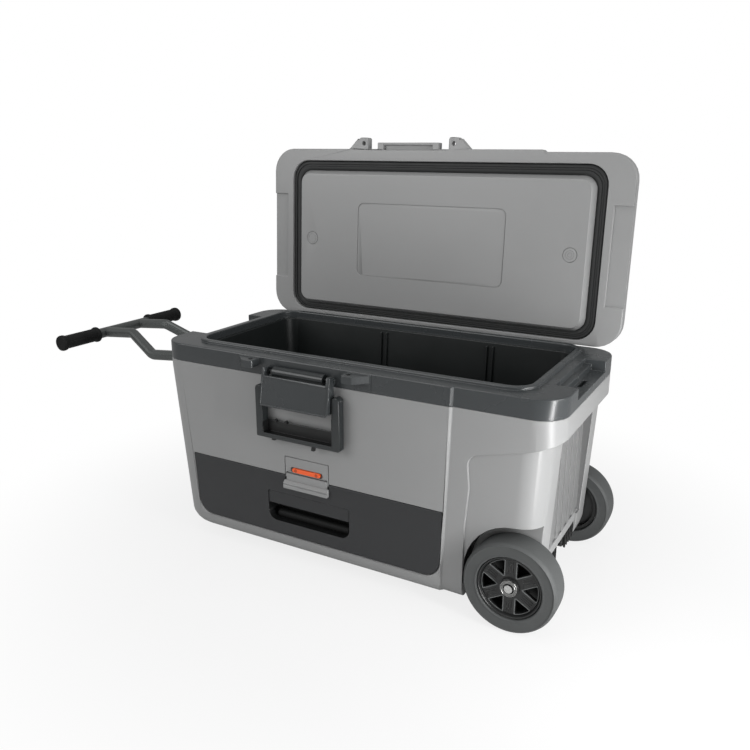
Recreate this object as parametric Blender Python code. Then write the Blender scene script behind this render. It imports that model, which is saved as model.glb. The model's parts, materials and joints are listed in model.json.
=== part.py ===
"""Wheeled cooler with a hinged lid, a draw latch, a dry-goods drawer, two wheels and a fold-down pull handle.

Metres, +Z up. X runs along the cooler, with the wheels at +X and the pull handle at -X, and the front with
the drawer and the latch faces -Y. Heights are written from the floor. At the end the whole cooler is moved
down, so that the origin lies at the middle of the body's flat underside.
"""
import math

import bmesh
import bpy
from mathutils import Matrix, Vector

# Clearances and cutting allowances
GAP = 0.0003
SLIP = 0.0004
OVERRUN = 0.020
EDGE_BEVEL = 0.0015

# Body and collar outline
COLLAR_LENGTH = 0.9036
COLLAR_DEPTH = 0.4172
HALF_LENGTH = COLLAR_LENGTH / 2
HALF_DEPTH = COLLAR_DEPTH / 2
CORNER_RADIUS = 0.056
CORNER_STEPS = 7
SEAM_X = 0.2480
SEAM_LEAN = 0.0315
SEAM_STEP = 0.0048

# Heights above the floor
UNDERSIDE_HEIGHT = 0.028
BODY_HEIGHT = 0.3868
COLLAR_HEIGHT = 0.0386
LIP_RISE = 0.0063
LID_GAP = 0.001
BAY_RISE = 0.045
BAY_HEIGHT = 0.102
FOAM_CLEARANCE = 0.0025
FOAM_FLOOR = 0.0345
BODY_TOP = UNDERSIDE_HEIGHT + BODY_HEIGHT
COLLAR_BOTTOM = BODY_TOP + GAP
COLLAR_TOP = COLLAR_BOTTOM + COLLAR_HEIGHT
LIP_TOP = COLLAR_TOP + LIP_RISE
LID_BOTTOM = COLLAR_TOP + LID_GAP
BAY_BOTTOM = UNDERSIDE_HEIGHT + BAY_RISE
BAY_TOP = BAY_BOTTOM + BAY_HEIGHT
FOAM_BOTTOM = BAY_TOP + FOAM_CLEARANCE
TUB_FLOOR = FOAM_BOTTOM + FOAM_FLOOR
SEAM_DROP = 0.0237
SEAM_HEIGHT = COLLAR_TOP - SEAM_DROP

# Outer shell
END_DRAFT = 0.096
DRAFT_DROP = 0.0148
DRAFT_TOP = BODY_TOP - DRAFT_DROP
END_FOOT_RADIUS = 0.038
SIDE_FOOT_RADIUS = 0.015
FOOT_RISE = 0.030
FOOT_STEPS = 5
SHELL_END_WALL = 0.005
SHELL_SIDE_WALL = 0.014
SHELL_FLOOR = 0.006

# Stepped-in panel round the wheel end
PANEL_DEPTH = 0.004
PANEL_DROP = 0.0438
PANEL_BROW_DROP = 0.014
PANEL_SHOULDER_DROP = 0.040
PANEL_WAIST_DROP = 0.110
PANEL_TOP = BODY_TOP - PANEL_DROP
PANEL_BROW_HEIGHT = PANEL_TOP - PANEL_BROW_DROP
PANEL_SHOULDER_HEIGHT = PANEL_TOP - PANEL_SHOULDER_DROP
PANEL_WAIST_HEIGHT = PANEL_TOP - PANEL_WAIST_DROP
PANEL_END_X = 0.4372
PANEL_END_DRAFT = 0.054
PANEL_CORNER_RADIUS = 0.050
PANEL_FOOT_RADIUS = 0.075
PANEL_FOOT_RISE = 0.055
PANEL_FOOT_X = 0.2828
PANEL_WAIST_X = 0.2893
PANEL_SHOULDER_X = 0.3088
PANEL_SHOULDER_RADIUS = 0.024
PANEL_BROW_X = 0.4118

# Ribbed recess in the wheel end
RECESS_HALF_WIDTH = 0.114
RECESS_FLOOR_X = 0.4130
RECESS_BOTTOM = 0.114
RIB_COUNT = 5
RIB_WIDTH = 0.019
RIB_HEIGHT = 0.0035
RIB_PITCH = 0.040

# Wheels, axle and their room in the body
WHEEL_X = 0.3821
WHEEL_RADIUS = 0.091
WHEEL_FACE = 0.2267
TYRE_WIDTH = 0.057
TYRE_EDGE = 0.008
RIM_RADIUS = 0.0625
RIM_WALL = 0.007
RIM_FACE_SETBACK = 0.006
WEB_SETBACK = 0.010
WEB_THICKNESS = 0.008
HUB_RADIUS = 0.0190
HUB_SETBACK = 0.0045
SPOKE_COUNT = 6
SPOKE_WIDTH = 0.024
SPOKE_ROOT_RADIUS = 0.028
AXLE_RADIUS = 0.008
AXLE_END = 0.2262
CAP_RADIUS = 0.0172
CAP_THICKNESS = 0.003
WELL_FACE = 0.1636
WELL_START_X = 0.2828
WELL_STEPS = 8
WELL_ROOM = 0.018
WELL_TOP = 2 * WHEEL_RADIUS + WELL_ROOM
BAY_HALF_WIDTH = 0.0936
BAY_START_X = 0.300
BRACKET_HALF_LENGTH = 0.030
BRACKET_WIDTH = 0.062
BRACKET_DROP = 0.056
ROUND_STEPS = 36
SMALL_STEPS = 20

# Feet under the handle end
FOOT_X = -0.345
FOOT_Y = 0.090
FOOT_LENGTH = 0.060
FOOT_WIDTH = 0.046
FOOT_TAPER = 0.005

# Opening, lip and tub
OPENING_HALF_LENGTH = 0.376
OPENING_FRONT = -0.1636
OPENING_REAR = 0.1784
OPENING_RADIUS = 0.036
LIP_WIDTH = 0.013
LEDGE_WIDTH = 0.005
LEDGE_DROP = 0.0157
LEDGE_HEIGHT = COLLAR_TOP - LEDGE_DROP
TUB_RIM_RISE = 0.006
TUB_RIM_TOP = LEDGE_HEIGHT + TUB_RIM_RISE
TUB_WALL = 0.0035
TUB_DRAFT = 0.013

# Hand recesses in the collar's ends and under the lid
HAND_HALF_WIDTH = 0.104
HAND_DEPTH = 0.043
HAND_DROP = 0.0222
HAND_FLOOR = COLLAR_TOP - HAND_DROP
HAND_STEP_DEPTH = 0.029
HAND_STEP_DROP = 0.0097
HAND_STEP_FLOOR = COLLAR_TOP - HAND_STEP_DROP
HAND_SLOT_LENGTH = 0.050
HAND_SLOT_WIDTH = 0.009
HAND_SLOT_DEPTH = 0.010
HAND_SLOT_INSET = 0.024
LID_HAND_HALF_WIDTH = 0.106
LID_HAND_DEPTH = 0.040
LID_HAND_RISE = 0.005
LID_HAND_Y = 0.0085

# Lid
LID_RIM_HEIGHT = 0.024
LID_DRAFT = 0.012
LID_SHOULDER = 0.022
LID_CROWN_HEIGHT = 0.050
LID_HEIGHT = 0.058
LID_WALL = 0.005
HINGE_Y = 0.2106
HINGE_DROP = 0.0104
HINGE_HEIGHT = COLLAR_TOP - HINGE_DROP
OPEN_ANGLE = math.radians(93.1)
GASKET_HALF_LENGTH = 0.3955
GASKET_FRONT = -0.1806
GASKET_REAR = 0.1934
GASKET_RADIUS = 0.044
GASKET_THICKNESS = 0.0095
FLANGE_THICKNESS = 0.003
LINER_HALF_LENGTH = 0.3720
LINER_FRONT = -0.1565
LINER_REAR = 0.1745
LINER_RADIUS = 0.030
LINER_DROP = 0.0077
LINER_FACE_HEIGHT = COLLAR_TOP - LINER_DROP
LINER_SLOPE = 0.008
LINER_WALL = 0.005
PLAQUE_X = -0.0087
PLAQUE_Y = 0.0059
PLAQUE_LENGTH = 0.379
PLAQUE_WIDTH = 0.175
PLAQUE_RADIUS = 0.016
PLAQUE_DEPTH = 0.0015
PLUG_X = 0.3300
PLUG_Y = 0.0094
PLUG_RADIUS = 0.015
PLUG_THICKNESS = 0.003

# Lid hinges
HINGE_X = 0.190
HINGE_LENGTH = 0.072
KNUCKLE_RADIUS = 0.0058
HINGE_PIN_RADIUS = 0.0022
LEAF_THICKNESS = 0.0025
LEAF_DROP = 0.016
LEAF_RISE = 0.024
KNUCKLE_SHARES = (0.28, 0.44, 0.28)

# Padlock lugs and catch tab
LATCH_X = -0.0742
LUG_INNER = 0.1055
LUG_TIP_WIDTH = 0.0250
LUG_BASE_WIDTH = 0.0510
LUG_REACH = 0.026
LUG_HOLE_RADIUS = 0.0048
LUG_HOLE_REACH = 0.0125
LUG_HOLE_INSET = 0.0115
COLLAR_LUG_DROP = 0.0043
COLLAR_LUG_TOP = COLLAR_TOP - COLLAR_LUG_DROP
COLLAR_LUG_THICKNESS = 0.0154
COLLAR_LUG_BOTTOM = COLLAR_LUG_TOP - COLLAR_LUG_THICKNESS
LID_LUG_THICKNESS = 0.020
TAB_HALF_LENGTH = 0.0800
TAB_REACH = 0.0145
TAB_THICKNESS = 0.020
TAB_POCKET_HALF_LENGTH = 0.064
TAB_POCKET_FRONT = 0.009
TAB_POCKET_BACK = 0.0025
TAB_POCKET_DEPTH = 0.009

# Draw latch: lever on the barrel and bail on the lever
BARREL_REACH = 0.009
BARREL_DROP = 0.0242
BARREL_HEIGHT = COLLAR_TOP - BARREL_DROP
BARREL_RADIUS = 0.0105
BARREL_HALF_LENGTH = 0.0605
LATCH_PIN_RADIUS = 0.003
LEVER_HALF_LENGTH = 0.0815
LEVER_FLANGE = 0.008
LEVER_EAR_RADIUS = 0.0084
LEVER_THICKNESS = 0.005
LEVER_WINDOW_DROP = 0.0165
LEVER_TOP_REACH = 0.0235
LEVER_RISE = 0.0105
LEVER_TOP = BARREL_HEIGHT + LEVER_RISE
LEVER_FOOT_REACH = 0.0375
LEVER_DROP = 0.0585
LEVER_FOOT = BARREL_HEIGHT - LEVER_DROP
LEVER_CHEEK_REACH = 0.0075
LEVER_CHEEK_DROP = 0.0275
LEVER_CHEEK_TOP = BARREL_HEIGHT - LEVER_CHEEK_DROP
LEVER_CHEEK_LENGTH = 0.018
LEVER_CHEEK_FOOT = LEVER_CHEEK_TOP - LEVER_CHEEK_LENGTH
LEVER_HEEL_REACH = 0.021
BAIL_HALF_LENGTH = 0.101
BAIL_PIN_DROP = 0.0375
BAIL_PIN_HEIGHT = BARREL_HEIGHT - BAIL_PIN_DROP
BAIL_ARM_WIDTH = 0.0178
BAIL_RISE = 0.009
BAIL_TOP = BAIL_PIN_HEIGHT + BAIL_RISE
BAIL_DROP = 0.103
BAIL_BOTTOM = BAIL_PIN_HEIGHT - BAIL_DROP
BAIL_FRONT = 0.024
BAIL_BACK = 0.005
BAIL_PIN_REACH = 0.0135
BAIL_PIN_RADIUS = 0.003
BAIL_WEB_DROP = 0.034
BAIL_WEB_TOP = BAIL_PIN_HEIGHT - BAIL_WEB_DROP
BAIL_WEB_HEIGHT = 0.024
BAIL_WEB_BOTTOM = BAIL_WEB_TOP - BAIL_WEB_HEIGHT
BAIL_BAR = 0.010
BAIL_PLATE = 0.003

# Drawer bay, tray and front
FRONT_RISE = 0.027
FRONT_TOP = BAY_TOP + FRONT_RISE
FRONT_DROP = 0.013
FRONT_BOTTOM = BAY_BOTTOM - FRONT_DROP
FRONT_LEFT_X = -0.3732
FRONT_LEFT_LEAN = 0.075
FRONT_CORNER_RADIUS = 0.036
FRONT_THICKNESS = 0.0047
FRONT_GAP = 0.0012
FRONT_SEAT = 0.0053
FRONT_EDGE = 0.0012
BAY_LEFT_X = -0.350
BAY_RIGHT_X = 0.226
BAY_WALL = 0.003
BAY_DEPTH = 0.372
TRAY_SIDE_GAP = 0.008
TRAY_WALL = 0.003
TRAY_DEPTH = 0.318
TRAY_LIFT = 0.004
TRAY_RIM = 0.0035
RUNNER_HEIGHT = 0.012
POCKET_X = -0.068
POCKET_HALF_LENGTH = 0.1015
POCKET_DROP = 0.044
POCKET_TOP = FRONT_TOP - POCKET_DROP
POCKET_HEIGHT = 0.068
POCKET_BOTTOM = POCKET_TOP - POCKET_HEIGHT
POCKET_RADIUS = 0.020
POCKET_DEPTH = 0.040
POCKET_WALL = 0.004
VISOR_HEIGHT = 0.029
VISOR_FOOT = POCKET_TOP - VISOR_HEIGHT
VISOR_THICKNESS = 0.005
VISOR_SETBACK = 0.0018

# Drawer latch on the drawer front
PLATE_X = -0.0687
PLATE_HALF_LENGTH = 0.0535
PLATE_RISE = 0.042
PLATE_TOP = FRONT_TOP + PLATE_RISE
PLATE_HEIGHT = 0.068
PLATE_FOOT = PLATE_TOP - PLATE_HEIGHT
PLATE_THICKNESS = 0.0097
PLATE_RECESS = 0.0101
PLATE_GAP = 0.0012
SHELF_DROP = 0.034
SHELF_HEIGHT = PLATE_TOP - SHELF_DROP
SHELF_SETBACK = 0.0070
KEY_HALF_LENGTH = 0.0342
KEY_RISE = 0.002
KEY_BOTTOM = SHELF_HEIGHT + KEY_RISE
KEY_HEIGHT = 0.0108
KEY_TOP = KEY_BOTTOM + KEY_HEIGHT
KEY_PROUD = 0.0025
KEY_TRAVEL = 0.005
KEY_ROUND_SHARE = 0.4
KEY_DEPTH = 0.005
CHEEK_WIDTH = 0.003
CHEEK_HEIGHT = 0.012
CHEEK_FOOT = SHELF_HEIGHT - CHEEK_HEIGHT
TAB_LEVER_HALF_LENGTH = 0.0545
TAB_LEVER_THICKNESS = 0.0054
TAB_LEVER_DROP = 0.005
TAB_LEVER_PIVOT = SHELF_HEIGHT - TAB_LEVER_DROP
TAB_LEVER_PIVOT_SETBACK = 0.0029
TAB_LEVER_TRUNNION = 0.0016
TAB_LEVER_HEAD = 0.0025
TAB_LEVER_PROUD = 0.001
TAB_LIP_DROP = 0.0125
TAB_LIP_TOP = TAB_LEVER_PIVOT - TAB_LIP_DROP
TAB_LIP_HEIGHT = 0.017
TAB_LIP_FOOT = TAB_LIP_TOP - TAB_LIP_HEIGHT
TAB_LIP_PROUD = 0.008

# Pull handle
HANDLE_TUBE_RADIUS = 0.0127
HANDLE_PIVOT_X = -0.4690
HANDLE_PIVOT_DROP = 0.0316
HANDLE_PIVOT_HEIGHT = BODY_TOP - HANDLE_PIVOT_DROP
HANDLE_DROOP = math.radians(5.2)
HANDLE_STRAIGHT = 0.140
HANDLE_SLANT = 0.082
HANDLE_RISE = 0.048
HANDLE_REACH = 0.098
HANDLE_SPREAD = 0.081
HANDLE_NECK = 0.059
HANDLE_BEND_RADIUS = 0.028
HANDLE_BEND_STEPS = 5
BAR_HALF_LENGTH = 0.198
GRIP_START = 0.088
GRIP_RADIUS = 0.0165
GRIP_END = 0.202
GRIP_FLANGE_RADIUS = 0.0195
GRIP_FLANGE_WIDTH = 0.012
HANDLE_PIN_RADIUS = 0.004
EAR_THICKNESS = 0.005
EAR_CLEARANCE = 0.0006
EAR_RADIUS = 0.013
MOUNT_RISE = 0.0208
MOUNT_TOP = HANDLE_PIVOT_HEIGHT + MOUNT_RISE
MOUNT_DROP = 0.0212
MOUNT_FOOT = HANDLE_PIVOT_HEIGHT - MOUNT_DROP
TUBE_STEPS = 16
DOME_TURN = math.radians(81.0)

# Surface colours, linear
COLOURS = {
    "shell_grey": (0.292, 0.292, 0.292), "collar_grey": (0.064, 0.068, 0.070),
    "drawer_grey": (0.040, 0.041, 0.044), "tub_black": (0.012, 0.013, 0.013),
    "foam_white": (0.800, 0.780, 0.700), "rubber_black": (0.042, 0.042, 0.042),
    "tyre_black": (0.060, 0.062, 0.062), "rim_black": (0.016, 0.016, 0.016), "steel": (0.560, 0.560, 0.550),
    "tube_grey": (0.105, 0.110, 0.108), "key_orange": (0.870, 0.130, 0.028),
}
METALS = ("steel", "tube_grey")


def clear_scene():
    for item in list(bpy.data.objects):
        bpy.data.objects.remove(item, do_unlink=True)


def material(finish, node):
    made = bpy.data.materials.new(node + "_" + finish)
    made.use_nodes = True
    shader = made.node_tree.nodes["Principled BSDF"]
    shader.inputs["Base Color"].default_value = (*COLOURS[finish], 1.0)
    shader.inputs["Metallic"].default_value = 1.0 if finish in METALS else 0.0
    shader.inputs["Roughness"].default_value = 0.35 if finish in METALS else 0.55
    return made


def place(name, build, parent):
    mesh = bpy.data.meshes.new(name)
    bmesh.ops.recalc_face_normals(build, faces=build.faces)
    build.to_mesh(mesh)
    build.free()
    made = bpy.data.objects.new(name, mesh)
    bpy.context.collection.objects.link(made)
    made.parent = parent
    made.matrix_parent_inverse = parent.matrix_world.inverted() if parent else Matrix()
    return made


def finish(made, surface):
    made.data.materials.append(material(surface, made.name))
    made.data.shade_smooth()
    made.data.set_sharp_from_angle(angle=math.radians(32))
    return made


def pivot(name, location, parent=None):
    made = bpy.data.objects.new(name, None)
    made.empty_display_size = KNUCKLE_RADIUS
    bpy.context.collection.objects.link(made)
    made.location = location
    bpy.context.view_layer.update()
    if parent:
        made.parent = parent
        made.matrix_parent_inverse = parent.matrix_world.inverted()
        bpy.context.view_layer.update()
    return made


def skin(rings, hollow=False):
    """Faces between rings of equal length: a capped loft, or a closed tube of rings when hollow."""
    build = bmesh.new()
    rows = [[build.verts.new(point) for point in ring] for ring in rings]
    count = len(rows[0])
    pairs = list(zip(rows, rows[1:]))
    if hollow:
        pairs.append((rows[-1], rows[0]))
    for low, high in pairs:
        for step in range(count):
            following = (step + 1) % count
            build.faces.new((low[step], low[following], high[following], high[step]))
    if not hollow:
        build.faces.new(list(reversed(rows[0])))
        build.faces.new(rows[-1])
    return build


def arc(centre, radius, start, end, steps):
    turns = (start + (end - start) * step / steps for step in range(steps + 1))
    return [(centre[0] + radius * math.cos(turn), centre[1] + radius * math.sin(turn)) for turn in turns]


def seam_at(height):
    return SEAM_X - (SEAM_HEIGHT - height) * SEAM_LEAN


def ring(height, left, right, front, rear, radius, step=0.0, right_radius=None):
    """Rounded rectangle at one height, stepped in by step to the right of the seam."""
    far = right_radius or radius
    seam = seam_at(height)
    bend = seam + max(step, EDGE_BEVEL)
    points = arc((left + radius, front + radius), radius, math.pi, 1.5 * math.pi, CORNER_STEPS)
    points += [(seam, front), (bend, front + step)]
    points += arc((right - far, front + step + far), far, -0.5 * math.pi, 0.0, CORNER_STEPS)
    points += arc((right - far, rear - step - far), far, 0.0, 0.5 * math.pi, CORNER_STEPS)
    points += [(bend, rear - step), (seam, rear)]
    points += arc((left + radius, rear - radius), radius, 0.5 * math.pi, math.pi, CORNER_STEPS)
    return [Vector((x, y, height)) for x, y in points]


def rounded(x0, x1, y0, y1, radius, steps=5):
    points = arc((x0 + radius, y0 + radius), radius, math.pi, 1.5 * math.pi, steps)
    points += arc((x1 - radius, y0 + radius), radius, 1.5 * math.pi, 2 * math.pi, steps)
    points += arc((x1 - radius, y1 - radius), radius, 0.0, 0.5 * math.pi, steps)
    points += arc((x0 + radius, y1 - radius), radius, 0.5 * math.pi, math.pi, steps)
    return points


def prism(points, low, high, along):
    """A flat outline pushed along one axis: outline (y, z) along X, (x, z) along Y or (x, y) along Z."""
    orders = {"X": lambda a, b, c: (c, a, b), "Y": lambda a, b, c: (a, c, b), "Z": lambda a, b, c: (a, b, c)}
    return skin([[Vector(orders[along](a, b, level)) for a, b in points] for level in (low, high)])


def block(low, high):
    corners = [(low[0], low[1]), (high[0], low[1]), (high[0], high[1]), (low[0], high[1])]
    return prism(corners, low[2], high[2], "Z")


def rod(centre, radius, low, high, along, steps=SMALL_STEPS):
    circle = arc(centre, radius, 0.0, 2 * math.pi * (steps - 1) / steps, steps - 1)
    return prism(circle, low, high, along)


def turned(profile, centre, steps=ROUND_STEPS):
    """A closed profile of (radius, y) turned about a Y axis through centre (x, z)."""
    turns = [2 * math.pi * step / steps for step in range(steps)]
    rings = [[Vector((centre[0] + radius * math.cos(turn), y, centre[1] + radius * math.sin(turn)))
              for turn in turns] for radius, y in profile]
    return skin(rings, hollow=True)


def tool(name, build, parent):
    made = place(name, build, parent)
    made.hide_render = True
    made.display_type = "WIRE"
    return made


def carve(made, build, operation="DIFFERENCE"):
    label = operation.lower() + "_" + made.name + "_" + str(len(made.modifiers))
    cutter = tool(label, build, made.parent)
    step = made.modifiers.new(label, "BOOLEAN")
    step.operation = operation
    step.solver = "EXACT"
    step.object = cutter
    return cutter


def add(made, build):
    return carve(made, build, "UNION")


def soften(made, width=EDGE_BEVEL, segments=1, angle=40):
    step = made.modifiers.new("edge", "BEVEL")
    step.width = width
    step.segments = segments
    step.limit_method = "ANGLE"
    step.angle_limit = math.radians(angle)
    step.harden_normals = False
    return made


def end_inset(height):
    """How far the handle end leans in at one height."""
    return max(0.0, DRAFT_TOP - height) * END_DRAFT


def foot_turns():
    return [0.5 * math.pi * step / FOOT_STEPS for step in range(FOOT_STEPS + 1)]


def outer_form(top=BODY_TOP):
    """The whole outside of the body before anything is stepped in or cut out."""
    rings = []
    for turn in foot_turns():
        height = UNDERSIDE_HEIGHT + FOOT_RISE * (1 - math.cos(turn))
        side = SIDE_FOOT_RADIUS * (1 - math.sin(turn))
        left = -HALF_LENGTH + end_inset(height) + END_FOOT_RADIUS * (1 - math.sin(turn))
        rings.append(ring(height, left, HALF_LENGTH, -HALF_DEPTH + side, HALF_DEPTH - side,
                          CORNER_RADIUS - side, SEAM_STEP))
    for height in (DRAFT_TOP, top):
        rings.append(ring(height, -HALF_LENGTH, HALF_LENGTH, -HALF_DEPTH, HALF_DEPTH, CORNER_RADIUS,
                          SEAM_STEP))
    return skin(rings)


def panel_end(height):
    return PANEL_END_X - (BODY_TOP - height) * PANEL_END_DRAFT


def panel_form():
    """The stepped-in form round the wheel end, taller and longer to the left than where it is used."""
    side = HALF_DEPTH - SEAM_STEP - PANEL_DEPTH
    rings = []
    for turn in foot_turns():
        height = UNDERSIDE_HEIGHT + PANEL_FOOT_RISE * (1 - math.cos(turn))
        right = panel_end(height) - PANEL_FOOT_RADIUS * (1 - math.sin(turn))
        rings.append(ring(height, -HALF_LENGTH, right, -side, side, PANEL_CORNER_RADIUS))
    high = BODY_TOP + OVERRUN
    rings.append(ring(high, -HALF_LENGTH, panel_end(BODY_TOP), -side, side, PANEL_CORNER_RADIUS))
    return skin(rings)


def panel_outline():
    """Side view of the region that is stepped in, with its rounded shoulder and rising brow."""
    brow = math.atan2(PANEL_BROW_HEIGHT - PANEL_SHOULDER_HEIGHT, PANEL_BROW_X - PANEL_SHOULDER_X)
    radius = PANEL_SHOULDER_RADIUS
    centre = (PANEL_SHOULDER_X, PANEL_SHOULDER_HEIGHT - radius)
    shoulder = arc(centre, radius, math.pi, 0.5 * math.pi + brow, CORNER_STEPS)
    points = [(PANEL_FOOT_X, UNDERSIDE_HEIGHT - OVERRUN), (PANEL_FOOT_X, WELL_TOP - OVERRUN),
              (PANEL_WAIST_X, PANEL_WAIST_HEIGHT)]
    points += shoulder
    points += [(PANEL_BROW_X, PANEL_BROW_HEIGHT), (HALF_LENGTH, PANEL_TOP),
               (HALF_LENGTH + OVERRUN, PANEL_TOP), (HALF_LENGTH + OVERRUN, UNDERSIDE_HEIGHT - OVERRUN)]
    return list(reversed(points))


def cavity_form(gap=0.0, floor=None):
    """Room inside the outer shell; with a gap and a floor it is the block of foam that fills it."""
    base = UNDERSIDE_HEIGHT + SHELL_FLOOR if floor is None else floor
    side = HALF_DEPTH - SHELL_SIDE_WALL - gap
    inset = SHELL_END_WALL + gap
    rings = []
    tops = (BODY_TOP, BODY_TOP + OVERRUN) if floor is None else (BODY_TOP - GAP,)
    sloped = 1.0 if floor is None else 0.0
    for height in (base, base + END_FOOT_RADIUS, base + PANEL_FOOT_RISE, DRAFT_TOP, *tops):
        left_foot = sloped * max(0.0, base + END_FOOT_RADIUS - height)
        right_foot = sloped * max(0.0, base + PANEL_FOOT_RISE - height) * PANEL_FOOT_RADIUS / PANEL_FOOT_RISE
        left = -HALF_LENGTH + end_inset(height) + inset + left_foot
        right = panel_end(min(height, BODY_TOP)) - inset - right_foot
        rings.append(ring(height, left, right, -side, side, CORNER_RADIUS - SHELL_SIDE_WALL))
    return skin(rings)


def well_outline(wall):
    """Side view of a wheel well: it arches over the wheel and then runs level to the end."""
    far = HALF_LENGTH + OVERRUN
    low = UNDERSIDE_HEIGHT - OVERRUN
    reach = WHEEL_X - WELL_START_X + wall
    rise = WELL_TOP - WHEEL_RADIUS + wall
    points = [(far, low), (far, WELL_TOP + wall)]
    for turn in (0.5 * math.pi * step / WELL_STEPS for step in range(WELL_STEPS + 1)):
        points.append((WHEEL_X - reach * math.sin(turn), WHEEL_RADIUS + rise * math.cos(turn)))
    return points + [(WHEEL_X - reach, low)]


def wells(wall=0.0):
    """The two wheel wells and the bay between them, grown by a wall where the inside has to stay clear."""
    far = HALF_LENGTH + OVERRUN
    low = UNDERSIDE_HEIGHT - OVERRUN
    blocks = []
    for side in (-1, 1):
        ends = sorted((side * (WELL_FACE - wall), side * (HALF_DEPTH + OVERRUN)))
        blocks.append(prism(well_outline(wall), ends[0], ends[1], "Y"))
    blocks.append(block((BAY_START_X - wall, -BAY_HALF_WIDTH - wall, low),
                        (far, BAY_HALF_WIDTH + wall, RECESS_BOTTOM + wall)))
    return blocks


def end_recess(wall=0.0):
    """The recess under the band of the wheel end, open below into the bay between the wheels."""
    low = (RECESS_FLOOR_X - wall, -RECESS_HALF_WIDTH - wall, RECESS_BOTTOM - GAP)
    return block(low, (HALF_LENGTH + OVERRUN, RECESS_HALF_WIDTH + wall, PANEL_TOP + wall))


def front_outline(gap=0.0):
    """Outline (x, z) of the drawer front, with a leaning left edge and round lower corners."""
    top = FRONT_TOP + gap
    foot = FRONT_BOTTOM - gap
    radius = FRONT_CORNER_RADIUS
    left_top = FRONT_LEFT_X - gap
    left = left_top + (FRONT_TOP - FRONT_BOTTOM - radius) * FRONT_LEFT_LEAN
    right_top = seam_at(FRONT_TOP) - FRONT_EDGE + gap
    right = seam_at(FRONT_BOTTOM + radius) - FRONT_EDGE + gap
    points = [(right_top, top), (left_top, top)]
    points += arc((left + radius, foot + radius), radius, math.pi, 1.5 * math.pi, CORNER_STEPS)
    points += arc((right - radius, foot + radius), radius, 1.5 * math.pi, 2 * math.pi, CORNER_STEPS)
    return list(reversed(points))


def make_shell():
    shell = place("outer_shell", outer_form(), None)
    step = carve(shell, prism(panel_outline(), -HALF_DEPTH - OVERRUN, HALF_DEPTH + OVERRUN, "Y"))
    carve(step, panel_form())
    for well in wells():
        carve(shell, well)
    carve(shell, end_recess())
    room = carve(shell, cavity_form())
    for well in wells(SHELL_END_WALL):
        carve(room, well)
    carve(room, end_recess(SHELL_END_WALL))
    face = -HALF_DEPTH
    carve(shell, prism(front_outline(FRONT_GAP), face - OVERRUN, face + FRONT_SEAT, "Y"))
    carve(shell, block((PLATE_X - PLATE_HALF_LENGTH - PLATE_GAP, face - OVERRUN, PLATE_FOOT - GAP),
                       (PLATE_X + PLATE_HALF_LENGTH + PLATE_GAP, face + PLATE_RECESS, PLATE_TOP + PLATE_GAP)))
    carve(shell, block((BAY_LEFT_X - GAP, face - OVERRUN, BAY_BOTTOM - GAP),
                       (BAY_RIGHT_X + GAP, face + SHELL_SIDE_WALL + OVERRUN, BAY_TOP + GAP)))
    carve(shell, rod((WHEEL_X, WHEEL_RADIUS), AXLE_RADIUS + GAP, -HALF_DEPTH, HALF_DEPTH, "Y"))
    return finish(shell, "shell_grey")


def make_ribs(shell):
    """Upright ribs on the floor of the end recess, moulded with the shell."""
    middle = (RIB_COUNT - 1) / 2
    for index in range(RIB_COUNT):
        y = (index - middle) * RIB_PITCH
        low = (RECESS_FLOOR_X - SHELL_END_WALL / 2, y - RIB_WIDTH / 2, RECESS_BOTTOM + RIB_HEIGHT)
        high = (RECESS_FLOOR_X + RIB_HEIGHT, y + RIB_WIDTH / 2, PANEL_TOP + SHELL_END_WALL / 2)
        add(shell, block(low, high))


def opening_ring(height, grow, radius=None):
    return ring(height, -OPENING_HALF_LENGTH - grow, OPENING_HALF_LENGTH + grow, OPENING_FRONT - grow,
                OPENING_REAR + grow, (radius or OPENING_RADIUS) + grow)


def outline_ring(height, inset=0.0, step=SEAM_STEP):
    return ring(height, -HALF_LENGTH + inset, HALF_LENGTH - inset, -HALF_DEPTH + inset, HALF_DEPTH - inset,
                CORNER_RADIUS - inset, step)


def lug_outline(side, edge=0.0):
    """Plan (x, y) of one padlock lug, square inside and slanted outside; side -1 is the left one."""
    inner = LATCH_X + side * LUG_INNER
    tip = inner + side * LUG_TIP_WIDTH
    base = inner + side * LUG_BASE_WIDTH
    points = [(inner, -HALF_DEPTH + edge), (inner, -HALF_DEPTH - LUG_REACH),
              (tip, -HALF_DEPTH - LUG_REACH), (base, -HALF_DEPTH), (base, -HALF_DEPTH + edge)]
    return points if side > 0 else list(reversed(points))


def lug_hole(side, low, high):
    centre = (LATCH_X + side * (LUG_INNER + LUG_HOLE_INSET), -HALF_DEPTH - LUG_HOLE_REACH)
    return rod(centre, LUG_HOLE_RADIUS, low, high, "Z")


def make_collar():
    rings = [outline_ring(COLLAR_BOTTOM), outline_ring(COLLAR_TOP - EDGE_BEVEL),
             outline_ring(COLLAR_TOP, EDGE_BEVEL), opening_ring(COLLAR_TOP, LIP_WIDTH),
             opening_ring(LIP_TOP - EDGE_BEVEL, LIP_WIDTH), opening_ring(LIP_TOP, LIP_WIDTH - EDGE_BEVEL),
             opening_ring(LIP_TOP, EDGE_BEVEL), opening_ring(LIP_TOP - EDGE_BEVEL, 0.0),
             opening_ring(LEDGE_HEIGHT, 0.0), opening_ring(LEDGE_HEIGHT, -LEDGE_WIDTH),
             opening_ring(COLLAR_BOTTOM, -LEDGE_WIDTH)]
    collar = place("collar", skin(rings, hollow=True), None)
    for side in (-1, 1):
        add(collar, prism(lug_outline(side, EDGE_BEVEL), COLLAR_LUG_BOTTOM, COLLAR_LUG_TOP, "Z"))
        carve(collar, lug_hole(side, COLLAR_LUG_BOTTOM - OVERRUN, COLLAR_LUG_TOP + GAP))
        carve_hand_recess(collar, side)
        carve_hinge_room(collar, side)
    return finish(collar, "collar_grey")


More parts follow.
